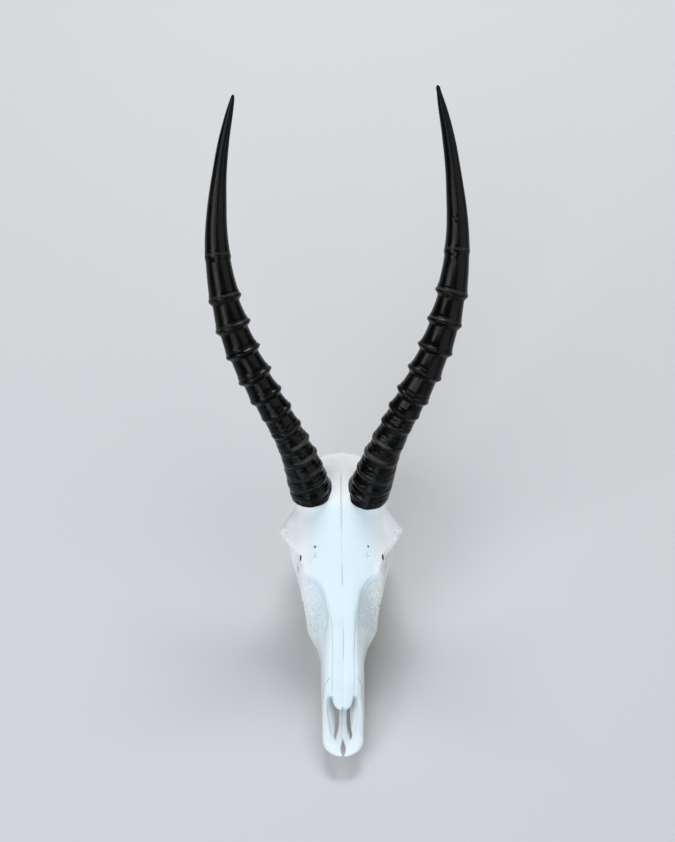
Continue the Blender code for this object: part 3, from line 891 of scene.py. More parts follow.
    centre_bar: Stations = (
        (2.5, 15, 20.5, 1.6), (2.3, 24, 22, 2), (2.2, 36, 22.6, 2.1), (2.2, 56, 23, 2),
    )
    premaxilla_seam: Stations = (
        (11, 62), (12.7, 60.2), (15.2, 57.6), (17.6, 54.5), (19, 46), (21, 40),
    )
    foramen: tuple = ((24.9, 173.4, 100.0), (0.85, 1.25, 5.0))
    lower_foramen: tuple = ((24.6, 167.4, 99.0), (0.7, 1.2, 1.8))
    cheek_foramen: tuple = ((19.4, 96, 30), (2.4, 3.4, 1.7))
    tear_notch: tuple = ((38.3, 165.5, 92.0), (0.85, 3.0, 7.0))
    plate_window: tuple[Span, Span] = ((2, 12), (24, 64))
    nose_window: tuple[Span, Span] = ((-9, 8), (30, 84))
    nasal_window: tuple[Span, Span] = ((-9, 36), (24, 104))
    tip_window: tuple[Span, Span] = ((-9, 0), (14, 40))
    plate_power: float = 3.0
    channel_power: float = 4.0
    cavity_power: float = 3.5
    notch_width: float = 0.9
    notch_length: float = 3.5
    slot_low: float = 8.0
    slot_high: float = 23.5
    seat_reach: float = 16.0
    triangles_kept: int = 190_000

    fossa: Fossa = Fossa()
    nasal_groove: Form = Form(-0.5, 0.3, 0.7, (42, 50, 112, 126))
    middle_groove: Form = Form(-0.2, 0.0, 0.75, (37, 44, 104, 130))
    middle_deep: Stops = (70, 82, 98, 104)
    middle_deepened: float = 3.0
    nasal_crown: float = 0.55
    crown_along: Stops = (36, 46, 112, 140)
    brow_fold: Form = Form(-0.9, 39.5, 4.0, (176, 186, 205, 214))
    temple_line: Form = Form(0.5, 22.0, 1.3, (238, 246, 280, 288), (80, 90))
    slit: Form = Form(-1.1, 20.3, 0.6, (134.5, 4.0), (55, 60))
    fan_slanted: Form = Form(-1.4, 24.4, 1.2, (157, 163, 165, 167))
    fan_straight: Form = Form(-1.12, 24.4, 1.0, (157, 163, 165, 167))
    fan_slant: float = 0.55
    fan_top: float = 166.0
    tip_groove: Form = Form(-0.4, 10.6, 1.1, (5, 10, 24, 30))
    tear_ridges: Form = Form(1.05, 38.0, 3.6, (154.5, 4.0), (60, 70))
    tear_wave: Place = (2.2, 0.5, 2.0)
    temple_curve: Place = (8.0, 238.0, 50.0)
    rough_cells: tuple = (11.0, 4.0, (2.2, 24.0, 2.6), 3.2, 3.0, 4.0)
    lumpy: Span = (0.22, 0.1)
    streaked: Patch = Patch(0.16, s=(-2, -1, 112, 150), z=(22, 30))
    rimmed: Patch = Patch(1.1, out=(46, 53))
    nape_rough: Patch = Patch(0.3, s=(268, 284), z=(-2, -1, 90, 104))
    brow_rim: Span = (187, 11.0)
    facing_up: Span = (0.2, 0.6)
    table_fade: Span = (0.6, 3.0)

    clear_reaches: Place = (2.0, 5.0, 9.0)
    # Where stored enclosure is cut, so that the nose's walls get less painted shade.
    nose_clear: tuple[Patch, ...] = (
        Patch(0.78, s=(-2, -1, 56, 80)), Patch(0.25, s=(80, 100, 140, 152)),
    )
    zigzag: Patch = Patch(s=(184, 192))
    frontal_seam: Patch = Patch(s=(136, 142, 236, 250), up=(0.1, 0.4))
    frontal_front: Patch = Patch(s=(152, 160))
    frontal_faint: float = 0.45
    middle_seam: Patch = Patch(s=(36, 40, 104, 122), up=(0.1, 0.4))
    middle_dark: Patch = Patch(0.65, s=(72, 82, 98, 104))
    middle_faint: float = 0.35
    nasal_seam: Patch = Patch(0.55, s=(46, 52, 108, 122), up=(0.1, 0.4))
    premaxilla_side: Patch = Patch(out=(11.5, 13.0), z=(30, 36))
    vault_back: Patch = Patch(s=(232, 238), z=(74, 84), up=(-0.2, 0.2))
    vault_dark: Patch = Patch(0.7, s=(256, 262))
    vault_faint: float = 0.3
    cheek_seams: tuple[Patch, ...] = (
        Patch(s=(116, 124, 158, 163), sideways=(0.3, 0.6)),
        Patch(s=(190, 196, 216, 220), x=(38, 41), z=(-2, -1, 66, 68)),
    )
    warm_parts: tuple[Patch, ...] = (
        Patch(s=(196, 226)), Patch(x=(22, 44)),
        Patch(enclosed=(0.3, 0.6), s=(156, 162), z=(-2, -1, 88, 93)),
        Patch(0.35, in_fossa=(0.0, 4.0), s=(98, 116), z=(38, 46)),
        Patch(0.4, s=(-2, -1, 10, 50)), Patch(0.4, s=(-2, -1, 60, 110), sideways=(0.3, 0.8)),
    )
    # Cream on lower sideways faces, on downward faces and by the eye: partly a tint of the bone,
    # partly painted shade.
    cream_and_shade_parts: tuple[Patch, ...] = (
        Patch(0.6, sideways=(0.6, 0.95), z=(-2, -1, 45, 60)), Patch(up=(-3, -2, -0.5, 0.0)),
        Patch(0.2, x=(37, 43), z=(-2, -1, 74, 84), s=(150, 160)),
    )
    vault_seams: Span = (246.0, 279.0)
    vault_bows: Span = (0.004, 0.008)
    vault_parted: float = 262.0
    premaxilla_end: float = 66.0
    jugal_slant: Place = (42.0, 0.42, 118.0)
    arch_slant: Place = (206.0, 0.6, 58.0)
    cheek_parted: float = 180.0

    def section_outlines(self, places: Array, steps: int = 5) -> Array:
        """Half outlines of the sections across the head.

        The ridge lines give corners, mirrored into a closed ring, and a Catmull-Rom curve
        rounds it. Near the tip x shrinks as on a quarter circle, by the root of 1 less the
        square of the way left to where the rounding ends.

        Args:
            places: the sections' s.
            steps: outline corners between two ridge lines.

        Returns:
            (sections, corners, 2) outlines from the top of the midline to its bottom.
        """
        ridges = (self.crest, self.plateau_edge, self.brow, self.cheek, self.flank,
                  self.gum_edge, self.palate_edge, self.palate_midline)
        half = np.stack([np.stack(read_stations(places, ridge), axis=-1) for ridge in ridges],
                        axis=1)
        lead = np.clip(1 - places / self.snout_round, 0.0, 1.0)
        open_by = np.sqrt(1 - lead ** 2)[:, None]
        half[..., 0] *= open_by
        lift_by = np.maximum(open_by, self.snout_flattest)
        half[..., 1] = self.snout_mid_z + (half[..., 1] - self.snout_mid_z) * lift_by
        ring = np.concatenate([half, half[:, -2:0:-1] * [-1.0, 1.0]], axis=1)
        before, after, beyond = (np.roll(ring, by, axis=1) for by in (1, -1, -2))
        rows = [0.5 * (2 * ring + (after - before) * t
                       + (2 * before - 5 * ring + 4 * after - beyond) * t ** 2
                       + (3 * ring - before - 3 * after + beyond) * t ** 3)
                for t in np.arange(steps) / steps]
        smooth = np.stack(rows, axis=2).reshape(len(places), -1, 2)
        return smooth[:, :(len(ridges) - 1) * steps + 1]

    def lay_body(self, lattice: Lattice) -> None:
        """Fills the lattice with the distance to the face and braincase, slice by slice.

        Args:
            lattice: the field to fill.
        """
        outlines = self.section_outlines(np.clip(lattice.s, self.front, self.back))
        x, z = (grid.ravel() for grid in np.meshgrid(lattice.x, lattice.z, indexing="ij"))
        for i, (s, outline) in enumerate(zip(lattice.s, outlines)):
            layer = outline_distance(x, z, outline)
            beyond = max(self.front - s, s - self.back)
            layer = np.maximum(layer, beyond) if beyond > 0 else layer
            lattice.values[:, i, :] = layer.reshape(len(lattice.x), -1)

    def add_bones(self, lattice: Lattice) -> None:
        """Joins on the bars and round bones of the skull's back, then the plates by the throat.

        Args:
            lattice: the field to change.
        """
        for bar, blend in ((self.nape_crest, 4.0), (self.cheek_bar, 3.0), (self.eye_bar, 3.0),
                           (self.jugular_process, 5.0), (self.horn_pedicle, 5.0)):
            lattice.join_bar(bar, blend)
        for shape in (self.condyle, self.bulla, self.jaw_hinge):
            lattice.shape_round(lattice.join, shape, 3.0)
        cut, (x, s, z), middle, *plate = lattice.beside(self.pterygoid_plate, *self.plate_window)
        lattice.join(cut, box_distance(x - middle, z, *plate, self.plate_power), 2.5)

    def hollow_out(self, lattice: Lattice) -> None:
        """Carves the sockets, temples, ears, neck, throat and nose, then the small holes.

        The walls of the nose run out from its floor to a lip just under the rim, as the
        height to a power.

        Args:
            lattice: the field to change.
        """
        for shape, blend in ((self.eye_socket, 2.2), (self.temple_hollow, 3.0),
                             (self.ear_opening, 1.5), (self.neck_hole, 2.5)):
            lattice.shape_round(lattice.carve, shape, blend)
        cut, (x, s, z), *channel = lattice.beside(self.throat, *self.nose_window)
        lattice.carve(cut, box_distance(x, z, *channel, self.channel_power), 2.5)
        cut, (x, s, z), half, low, high = lattice.beside(self.nose_cavity, *self.nose_window)
        _, rim = read_stations(s, self.crest)
        rise = np.clip((z - low) / np.maximum(rim - self.cavity_lip - low, 1.0), 0.0, 1.0)
        narrow = np.minimum(half, self.cavity_floor)
        wall = narrow + (half - narrow) * rise ** self.cavity_power
        lattice.carve(cut, box_distance(x, z, wall, low, high, self.channel_power), 1.2)
        for shape, blend in ((self.foramen, 0.5), (self.lower_foramen, 0.8),
                             (self.cheek_foramen, 1.0), (self.tear_notch, 0.8)):
            lattice.shape_round(lattice.carve, shape, blend, 3.0)

    def add_nasals(self, lattice: Lattice) -> None:
        """Joins on the nasal bones, a raised band with two tips, and the bar under the nose.

        Args:
            lattice: the field to change.
        """
        cut, (x, s, z), half, top = lattice.beside(self.nasals, *self.nasal_window)
        band_of_bone = box_distance(x, z, half, top - self.nasal_thickness, top, self.plate_power)
        notch = np.abs(x) - self.notch_width * (1 - (s - self.nasals[0][0]) / self.notch_length)
        lattice.join(cut, np.maximum(band_of_bone, -notch), 0.8)
        lattice.join_bar(self.centre_bar, 1.6, margin=5.9)

    def cut_to_fit(self, lattice: Lattice, seats: list[Seat], sockets: "ToothRow") -> None:
        """Carves what has crisp edges: slots, tip gap, tooth sockets, horn seats and table.

        Args:
            lattice: the field to carve.
            seats: where the two horns stand. Only what both cover is carved here.
            sockets: the row of teeth.
        """
        cut, (x, s, z), inner, outer = lattice.beside(self.floor_slot, *self.tip_window)
        ends = np.maximum(self.slot_low - z, z - self.slot_high)
        wall = np.abs(x - (inner + outer) / 2) - (outer - inner) / 2
        lattice.carve(cut, np.maximum(wall, ends), 0.8)
        cut, (x, s, z), half = lattice.beside(self.tip_gap, *self.tip_window)
        lattice.carve(cut, np.maximum(np.abs(x) - half, ends), 0.8)
        cut, at = lattice.window((4, sockets.front - 2, -3),
                                 (36, sockets.back + 2, sockets.top + 2))
        lattice.carve(cut, sockets.distance(at), 0.6)
        reach = seats[0].radius + self.seat_reach
        cut, (x, s, z) = lattice.window(seats[0].base - reach, seats[0].base + reach)
        above = -np.inf
        for seat in seats:
            height, off_axis = seat.around((np.abs(x), s, z))
            inside = np.maximum(-height - sockets.fit_gap, off_axis - seat.wall(height))
            above = np.maximum(above, inside)
        lattice.carve(cut, above, 0.5)
        lattice.values = np.maximum(lattice.values, -lattice.z.astype(np.float32))

    def across(self, points: Array) -> Array:
        """Signed distance from the skull's slightly bent midline, in millimetres."""
        return points[:, 0] - read_stations(points[:, 1], self.bend)[0]

    def whereabouts(self, points: Array, normals: Array, **more: Array) -> Whereabouts:
        """Works out the measures of corners.

        Args:
            points: (n, 3) corners of the bone.
            normals: (n, 3) directions out of it.
            more: measures worked out already.

        Returns:
            All of them together.
        """
        x, s, z = points.T
        return Whereabouts(s, z, np.abs(x), np.abs(self.across(points)), normals[:, 2],
                           np.abs(normals[:, 0]), **more)

    def relief(self, points: Array, normals: Array) -> Array:
        """Adds up the fine relief: noise, ridges and grooves, less near the table.

        Args:
            points: (n, 3) corners of the smooth bone.
            normals: (n, 3) directions out of it.

        Returns:
            How far each corner is raised, in millimetres.
        """
        x, s, z = points.T
        at = self.whereabouts(points, normals)
        out = at.out
        half, _ = read_stations(s, self.nasals)
        nose = self.nasal_groove.lift(out - half, s, z)
        crown = self.nasal_crown * (1 - ((out - half / 2) / (half / 2)) ** 2)
        nose += np.where(out < half, crown, 0.0) * band(s, self.crown_along)
        deeper = 1 + self.middle_deepened * band(s, self.middle_deep)
        nose += self.middle_groove.lift(out, s, z) * deeper
        fan = self.fan_slanted.lift(out + self.fan_slant * (s - self.fan_top), s, z)
        fan += self.fan_straight.lift(out, s, z)
        folds = self.brow_fold.lift(out, s, z) + self.tip_groove.lift(out, s, z)
        lift = (nose + fan + folds) * ramp(at.up, *self.facing_up)
        *rough, sway = (lattice_noise(points, cell, seed)
                        for seed, cell in enumerate(self.rough_cells, 1))
        shares = (*self.lumpy, at.within(self.streaked),
                  at.within(self.rimmed) * bump(s, *self.brow_rim), at.within(self.nape_rough))
        lift += sum(share * noise for share, noise in zip(shares, rough))
        turn, spread, swing = self.tear_wave
        lift += self.tear_ridges.lift(out, s, z) * np.cos(turn * (s + spread * out) + swing * sway)
        bow, middle, length = self.temple_curve
        lift += self.temple_line.lift(out - bow * ((s - middle) / length) ** 2, s, z)
        lift += self.slit.lift(x, s, z) + self.fossa.lift(points, self.fossa.within(out, s))
        return lift * ramp(z, *self.table_fade)

    def build(self, seats: list[Seat], sockets: "ToothRow", finish: "BoneFinish") -> Object:
        """Makes the finished skull bone.

        Args:
            seats: where the two horns stand.
            sockets: the row of teeth.
            finish: the bone's material.

        Returns:
            The new piece, which stands for the CAD cranium.
        """
        lattice = Lattice(step=self.step)
        self.lay_body(lattice)
        self.add_bones(lattice)
        self.hollow_out(lattice)
        self.add_nasals(lattice)
        self.cut_to_fit(lattice, seats, sockets)
        points, quads = lattice.skin()
        log.info("bone skin: %d corners, %d faces", len(points), len(quads))
        full = new_mesh("skull_bone_full", points, quads)
        points, normals = corners_and_normals(full)
        points += normals * self.relief(points, normals)[:, None]
        for seat, side in zip(seats, Side):
            points = seat.make_room(points, side)
        put_corners(full, points)
        full.update()
        piece = new_object("skull_bone", full)
        thin = piece.modifiers.new("fewer faces", "DECIMATE")
        thin.ratio = min(1.0, self.triangles_kept / (2 * len(quads)))
        evaluated = piece.evaluated_get(bpy.context.evaluated_depsgraph_get())
        kept = bpy.data.meshes.new_from_object(evaluated)
        piece.modifiers.clear()
        piece.data = kept
        bpy.data.meshes.remove(full)
        kept.shade_smooth()
        self.mark(kept, lattice)
        kept.materials.clear()
        kept.materials.append(finish.material())
        return stand_for(piece, "cranium")

    def mark(self, mesh: Mesh, lattice: Lattice) -> None:
        """Stores what the finish reads: enclosure (painted as shade), tints (partly painted shade)
        and distance and strength of each seam.

        Enclosure is 1 less the mean, over some ways off along the normal, of the field there
        divided by that way.

        Args:
            mesh: the bone, changed in place.
            lattice: the field that it was drawn from.
        """
        points, normals = corners_and_normals(mesh)
        _, s, z = points.T
        across = self.across(points)
        out = np.abs(across)
        clear = sum(np.clip(lattice.read(points + normals * reach) / reach, 0.0, 1.0)
                    for reach in self.clear_reaches) / len(self.clear_reaches)
        at = self.whereabouts(points, normals, enclosed=1 - clear,
                              in_fossa=self.fossa.within(out, s))
        half, _ = read_stations(s, self.nasals)
        zigzag = at.within(self.zigzag)
        frontal = np.maximum(zigzag, 1 - at.within(self.frontal_front))
        frontal = self.frontal_faint + (1 - self.frontal_faint) * frontal
        vault = [s - place + bow * out ** 2
                 for place, bow in zip(self.vault_seams, self.vault_bows)]
        jugal = z - self.jugal_slant[0] - self.jugal_slant[1] * (s - self.jugal_slant[2])
        arch = s - self.arch_slant[0] - self.arch_slant[1] * (z - self.arch_slant[2])
        # The enclosure becomes painted shade in the finish, and the cream mask is partly painted
        # shade.
        store(mesh, enclosed=at.enclosed * (1 - at.within(*self.nose_clear)),
              warm=np.clip(at.within(*self.warm_parts), 0.0, 1.0),
              cream=np.clip(at.within(*self.cream_and_shade_parts), 0.0, 1.0),
              zigzag=zigzag, across=across, frontal_line=at.within(self.frontal_seam) * frontal,
              middle_line=(at.within(self.middle_seam)
                           * (self.middle_faint + at.within(self.middle_dark))),
              from_nasal=out - half - self.nasal_groove.middle,
              nasal_line=at.within(self.nasal_seam),
              from_premaxilla=s - straight(out, self.premaxilla_seam),
              premaxilla_line=at.within(self.premaxilla_side) * (s < self.premaxilla_end),
              from_vault=np.where(s < self.vault_parted, *vault),
              vault_line=(at.within(self.vault_back)
                          * (self.vault_faint + at.within(self.vault_dark))),
              from_cheek=np.where(s < self.cheek_parted, jugal, arch),
              cheek_line=at.within(*self.cheek_seams))


# ---- the cheek teeth ----


@dataclass(frozen=True)
class ToothRow:
    """The row of upper cheek teeth: places along the jaw and the widths of the row."""

    teeth: tuple = (
        ("premolar_2", 90, 98.6), ("premolar_3", 99, 108.6), ("premolar_4", 109, 118.6),
        ("molar_1", 119, 132.6), ("molar_2", 133, 148.6), ("molar_3", 149, 167),
    )
    outside: Stations = ((88, 16.4), (99, 19), (119, 24.6), (133, 27), (149, 28.2), (169, 28.6))
    widths: Stations = ((90, 8.4), (167, 11.2))
    top: float = 19.0
    fit_gap: float = 0.35

    @property
    def front(self) -> float:
        """Place of the row's front face."""
        return self.teeth[0][1]

    @property
    def back(self) -> float:
        """Place of the row's back face."""
        return self.teeth[-1][2]

    def edges(self, s: Array) -> tuple[Array, Array]:
        """Where the row runs.

        Args:
            s: places back from the nose.

        Returns:
            Its middle, out from the midline, and half its width.
        """
        (outer,) = read_stations(s, self.outside)
        inner = outer - straight(s, self.widths)
        return (outer + inner) / 2, (outer - inner) / 2

    def distance(self, at: Grid) -> Array:
        """Distance to the row's socket, a fit gap wider than the teeth.

        Args:
            at: x, s and z of the places.

        Returns:
            The greatest of the signed distances to its faces.
        """
        x, s, z = at
        middle, half = self.edges(s)
        across = np.abs(x - middle) - half - self.fit_gap
        along = np.maximum(self.front - s, s - self.back) - self.fit_gap
        return np.maximum(np.maximum(across, along), z - self.top)


@dataclass
class CheekTooth:
    """One tall-crowned grinding tooth with a worn face; its name is the CAD name less the side."""

    row: ToothRow
    name: str
    front: float
    back: float
    side: Side
    around: int = 96
    squareness: float = 5.0
    waist: float = 0.9
    waist_ends: float = 0.35
    longest_one_lobed: float = 12.0
    shoulder: float = 3.0
    worn_scale: float = 0.95
    root_scale: float = 0.97
    worn_rings: int = 17
    worn_edge: float = 0.86
    side_rings: int = 25
    root_rings: int = 5
    ring_flat: float = 0.62
    dentine: tuple[float, float, float] = (0.5, 0.62, 0.16)
    island: tuple[float, float, float] = (1.6, 0.0, 0.17)
    island_bow: float = 1.2
    island_shift: float = 0.5

    @property
    def lobes(self) -> int:
        """How many lobes the crown has."""
        return 2 if self.back - self.front > self.longest_one_lobed else 1

    def outline(self) -> Array:
        """Crown outline: a rounded oblong, pinched between its lobes.

        The fifth powers of both offsets, in half sizes, add up to 1 all round it.

        Returns:
            (corners, 2) places out from the midline and back from the nose.
        """
        angle = np.linspace(0, 2 * math.pi, self.around, endpoint=False)
        u, v = (np.sign(turn) * np.abs(turn) ** (2 / self.squareness)
                for turn in (np.cos(angle), np.sin(angle)))
        s = self.front + (self.back - self.front) * (v + 1) / 2
        middle, half = self.row.edges(s)
        phase = (s - self.front) / (self.back - self.front) * self.lobes
        pinch = self.waist * (1 - np.sqrt(np.abs(np.sin(math.pi * phase))))
        pinch *= band(phase, (0.0, self.waist_ends, self.lobes - self.waist_ends, self.lobes))
        return np.stack([middle + u * (half - pinch), s], axis=1)

    def worn_height(self, flat: Array) -> Array:
        """Height of the worn face: enamel rims and islands stand lowest, dentine lies deeper.

        Args:
            flat: (n, 2) places on the face.

        Returns:
            (n,) heights above the table.
        """
        x, s = flat.T
        span = (self.back - self.front) / self.lobes
        lobe = np.clip(np.floor((s - self.front) / span), 0, self.lobes - 1)
        v = (s - (self.front + (lobe + 0.5) * span)) / (span / 2)
        middle, half = self.row.edges(s)
        u = (x - middle - self.island_bow * v ** 2 + self.island_shift) / half
        ring = np.sqrt(u ** 2 + (self.ring_flat * v) ** 2)
        return sum(part[0] * bump(ring, *part[1:]) for part in (self.dentine, self.island))

    def build(self, finish: "ToothFinish") -> Object:
        """Makes the tooth as a tube of outlines that ends in the worn face and the root.

        Args:
            finish: the enamel's material.

        Returns:
            The new piece, which stands for the CAD tooth of the same name.
        """
        outline = self.outline()
        middle = outline.mean(axis=0)
        top = self.row.top - self.row.fit_gap
        rings = []
        for scale in np.linspace(0.0, 1.0, self.worn_rings):
            flat = middle + (outline - middle) * self.worn_scale * scale
            height = self.worn_height(flat) * (1 - ramp(scale, self.worn_edge, 1.0))
            rings.append((flat, height))
        for z in np.linspace(0.0, 1.0, self.side_rings)[1:] * top:
            scale = straight(z, ((0.0, self.worn_scale), (self.shoulder, 1.0),
                                 (top, self.root_scale)))
            rings.append((middle + (outline - middle) * scale, z))
        for scale in np.linspace(1.0, 0.0, self.root_rings)[1:]:
            rings.append((middle + (outline - middle) * self.root_scale * scale, top))
        points = [np.column_stack([flat, np.full(len(flat), height)]) for flat, height in rings]
        name = f"{self.name}_{self.side.word}"
        mesh = new_mesh(f"{name}_crown", np.concatenate(points) * self.side.flip,
                        tube_quads(len(rings), self.around))
        close_tube(mesh)
        points = corners_and_normals(mesh)[0] * self.side.flip
        store(mesh, depth=self.worn_height(points[:, :2]) * (points[:, 2] < 2.0))
        mesh.materials.append(finish.material())
        return stand_for(new_object(f"crown_{name}", mesh), name)


# ---- the horns ----


@dataclass
class Horn:
    """One ringed horn: round sections along a curved middle line, swollen at every ring.

    The line is (x, s, z) from base to tip, and rings are places in millimetres along it.
    Station lists start with such a place. Ridges are (share, middle, width) of a bell
    curve, and waves of the angle are (share, waves in a turn).
    """

    side: Side
    order: int
    line: Stations
    rings: tuple[float, ...]
    slimmer: float
    radii: Stations = (
        (0, 18.7), (14, 18.9), (30, 17.8), (45, 16.3), (63, 14.5), (85, 13.5), (110, 13), (163, 13),
        (193, 12.9), (215, 12.1), (245, 11.3), (275, 9.9), (299, 8.7), (323, 7.1), (358, 5.4),
        (383, 3.6), (397, 1.9),
    )
    ring_heights: Stations = (
        (0, 0.9), (21, 1.4), (35, 1.9), (49, 2.3), (66, 2.5), (82, 2.7), (98, 2.9), (119, 3.4),
        (142, 3.8), (166, 3.7), (190, 3.4), (219, 2.8), (250, 0.8),
    )
    ring_wear: Stations = (
        (0, 0.25), (20, 0.35), (34, 0.5), (47, 1.0), (66, 1.0), (82, 0.45), (98, 0.3), (150, 0.35),
        (190, 0.55), (217, 0.6), (255, 0.5),
    )
    ring_step: float = 5.2
    flare_power: float = 1.7
    flare_share: float = 0.62
    knob: Place = (0.38, -0.4, 3.3)
    dip: Place = (-0.3, 2.6, 0.9)
    second_ridge: Place = (0.22, 4.4, 0.9)
    chances: tuple[Stops, Stops] = ((0.3, 0.1, 0.0, 0.1), (0.9, 0.35, 6.28, 0.45))
    ring_mean: float = 1.04
    ring_waves: tuple[Place, ...] = ((0.14, 1, 0), (0.1, 2, 1), (0.05, 5, -1))
    girdled_from: Span = (150.0, 200.0)
    girdled_share: float = 0.8
    worn_least: float = 0.25
    worn_turn: float = 0.15
    worn_front: Span = (0.35, 0.95)
    worn_middle: Span = (0.8, 1.4)
    worn_width: float = 1.9
    one_sided: Stations = ((85, 1.0), (125, 0.0))
    strong_side: Place = (-0.8, -0.6, 0.0)
    relief_radius: float = 10.0
    relief_cells: tuple[Place, ...] = (
        (1.1, 1.1, 26.0), (5.0, 5.0, 8.0), (8.0, 8.0, 1.5), (7.0, 7.0, 3.2),
    )
    relief_ends: Span = (60, 130)
    furrow_height: float = 0.16
    furrow_least: float = 0.15
    lump_height: float = 0.35
    ripple_height: float = 0.36
    crack_depth: float = 0.35
    crack_width: float = 0.16
    scar_radius: float = 9.0
    slimmer_along: Span = (270.0, 360.0)
    tip_round: float = 3.2
    tip_smooth: Span = (2.0, 30.0)
    base_raised: float = 1.8
    base_slanted: float = 2.5
    base_bulge: float = 1.3
    base_round: Span = (0.06, 2.4)
    bulge_turn: float = 0.5
    bulge_ends: float = 10.0
    slant_ends: float = 40.0
    seat_margin: float = -0.5
    scars: Stations = ()
    grain_radius: float = 15.0
    smooth_along: Span = (50, 150)
    cap_scales: Place = (0.0, 0.5, 0.9)
    around: int = 112
    spacing: float = 0.55

    def middle(self, places: Array) -> Array:
        """Points of the middle line, which goes straight on before its start.

        Args:
            places: millimetres along it.

        Returns:
            An (x, s, z) for each place.
        """
        points = np.asarray(self.line, float)
        lengths = np.linalg.norm(np.diff(points, axis=0), axis=1)
        along = np.concatenate([[0.0], np.cumsum(lengths)])
        curve = np.stack([cubic_curve(places, along, column) for column in points.T], axis=-1)
        return curve + np.minimum(places, 0.0)[..., None] * (points[1] - points[0]) / along[1]

    @property
    def length(self) -> float:
        """Length of the middle line."""
        return float(np.linalg.norm(np.diff(self.line, axis=0), axis=1).sum())

    def directions(self, places: Array) -> tuple[Array, Array, Array]:
        """Unit vectors at places along the horn.

        Args:
            places: millimetres along it.

        Returns:
            Those onwards, to the strong side, and across both.
        """
        ahead = self.middle(places + 1) - self.middle(places - 1)
        ahead /= np.linalg.norm(ahead, axis=-1)[..., None]
        strong = np.array(self.strong_side) * self.side.flip
        out = strong - ahead * (ahead @ strong)[..., None]
        out /= np.linalg.norm(out, axis=-1)[..., None]
        return ahead, out, np.cross(ahead, out)

    def seat(self) -> Seat:
        """Finds the flat that the horn stands on.

        It is the plane across the horn's base, raised, and slanted so that it rises by
        base_slanted over one radius towards the outside.

        Returns:
            The seat, mirrored to the right.
        """
        base = self.middle(np.array([0.0]))[0]
        ahead = self.directions(np.array([0.0]))[0][0]
        outwards = np.array([self.side.value, 0.0, 0.0])
        outwards -= ahead * (outwards @ ahead)
        normal = ahead - outwards * self.base_slanted / self.radii[0][1]
        normal /= np.linalg.norm(normal)
        raised = base + ahead * self.base_raised
        radius = self.radii[0][1] + self.seat_margin
        return Seat(raised * self.side.flip, normal * self.side.flip, radius)

    def ring_shape(self, ahead: Array, gap: float, double: float) -> Array:
        """Section of a ring.

        It steps in over ring_step on its base side and flares tipwards as a power of the
        share of the gap that is left. A round knob makes up nearly four tenths of it, and a
        dip and a thin second ridge follow behind the crest.

        Args:
            ahead: millimetres past the crest.
            gap: millimetres from this ring to the next.
            double: strength of the second ridge.

        Returns:
            Heights, about 1 at the crest.
        """
        flare = np.where(ahead >= 0, np.clip(1 - ahead / gap, 0, 1) ** self.flare_power,
                         ramp(ahead, -self.ring_step, 0.0))
        knob = self.knob[0] * bump(ahead, *self.knob[1:])
        doubled = sum(part[0] * bump(ahead, *part[1:]) for part in (self.dip, self.second_ridge))
        return (self.flare_share * flare + knob) * (ahead < gap) + double * doubled

    def ring_lift(self, along: Array, angle: Array) -> tuple[Array, Array]:
        """Height of the rings over the surface, and how worn each place is.

        Each ring sways round the horn by cosines of the angle, and its height varies by more
        of them. Where rings overlap the greater counts.

        Args:
            along: (rows, columns) places along the horn.
            angle: (1, columns) angles from the strong side.

        Returns:
            Two (rows, columns) arrays.
        """
        lift, worn = np.zeros((2, *along.shape))
        chance = np.random.default_rng(RANDOM_SEED + 7 + self.order)
        beyond = np.append(self.rings[1:], 2 * self.rings[-1] - self.rings[-2])
        strength = 1 - straight(along, self.one_sided) * (1 - np.cos(angle)) / 2
        front = ramp(np.cos(angle - self.worn_turn), *self.worn_front)
        for crest, following in zip(self.rings, beyond):
            sway, ripple, turn, double = chance.uniform(*self.chances)
            centre = crest + sway * np.cos(angle + turn) + ripple * np.cos(3 * angle + 2 * turn)
            ahead = along - centre
            uneven = self.ring_mean + sum(share * np.cos(waves * angle + by * turn)
                                          for share, waves, by in self.ring_waves)
            height = straight(crest, self.ring_heights) * uneven * strength
            lift = np.maximum(lift, height * self.ring_shape(ahead, following - crest, double))
            girdled = ramp(crest, *self.girdled_from)
            shown = np.maximum(front, self.girdled_share * girdled)
            shown = self.worn_least + (1 - self.worn_least) * shown
            middle = self.worn_middle[0] + self.worn_middle[1] * girdled
            wear = straight(crest, self.ring_wear) * shown * strength
            worn = np.maximum(worn, wear * bump(ahead, middle, self.worn_width))
        return lift, worn

    def unrolled(self, along: Array, angle: Array, radius: float) -> Array:
        """Each place on the horn as its (x, y, z) on a straight cylinder of that radius."""
        along, angle = np.broadcast_arrays(along, angle)
        return np.stack([radius * np.cos(angle), radius * np.sin(angle), along], axis=-1)

    def fine_relief(self, along: Array, angle: Array) -> Array:
        """Shallow lengthwise furrows, and by the base lumps, ripples and cracks, all of noise.

        Args:
            along: (rows, columns) places along the horn.
            angle: (1, columns) angles from the strong side.

        Returns:
            (rows, columns) heights in millimetres.
        """
        cells = self.unrolled(along, angle, self.relief_radius).reshape(-1, 3)
        furrows, lumps, ripples, cracks = (
            lattice_noise(cells, cell, 20 + self.order + 2 * i).reshape(along.shape)
            for i, cell in enumerate(self.relief_cells))
        low = 1 - ramp(along, *self.relief_ends)
        cracked = self.crack_depth * (1 - ramp(np.abs(cracks), 0.0, self.crack_width))
        lift = (self.lump_height * lumps + self.ripple_height * ripples - cracked) * low
        lift += self.furrow_height * furrows * (self.furrow_least + (1 - self.furrow_least) * low)
        for place, turn, size, height in self.scars:
            aside = np.mod(angle - turn + math.pi, 2 * math.pi) - math.pi
            lift += height * bump(np.hypot(along - place, self.scar_radius * aside), 0.0, size)
        return lift

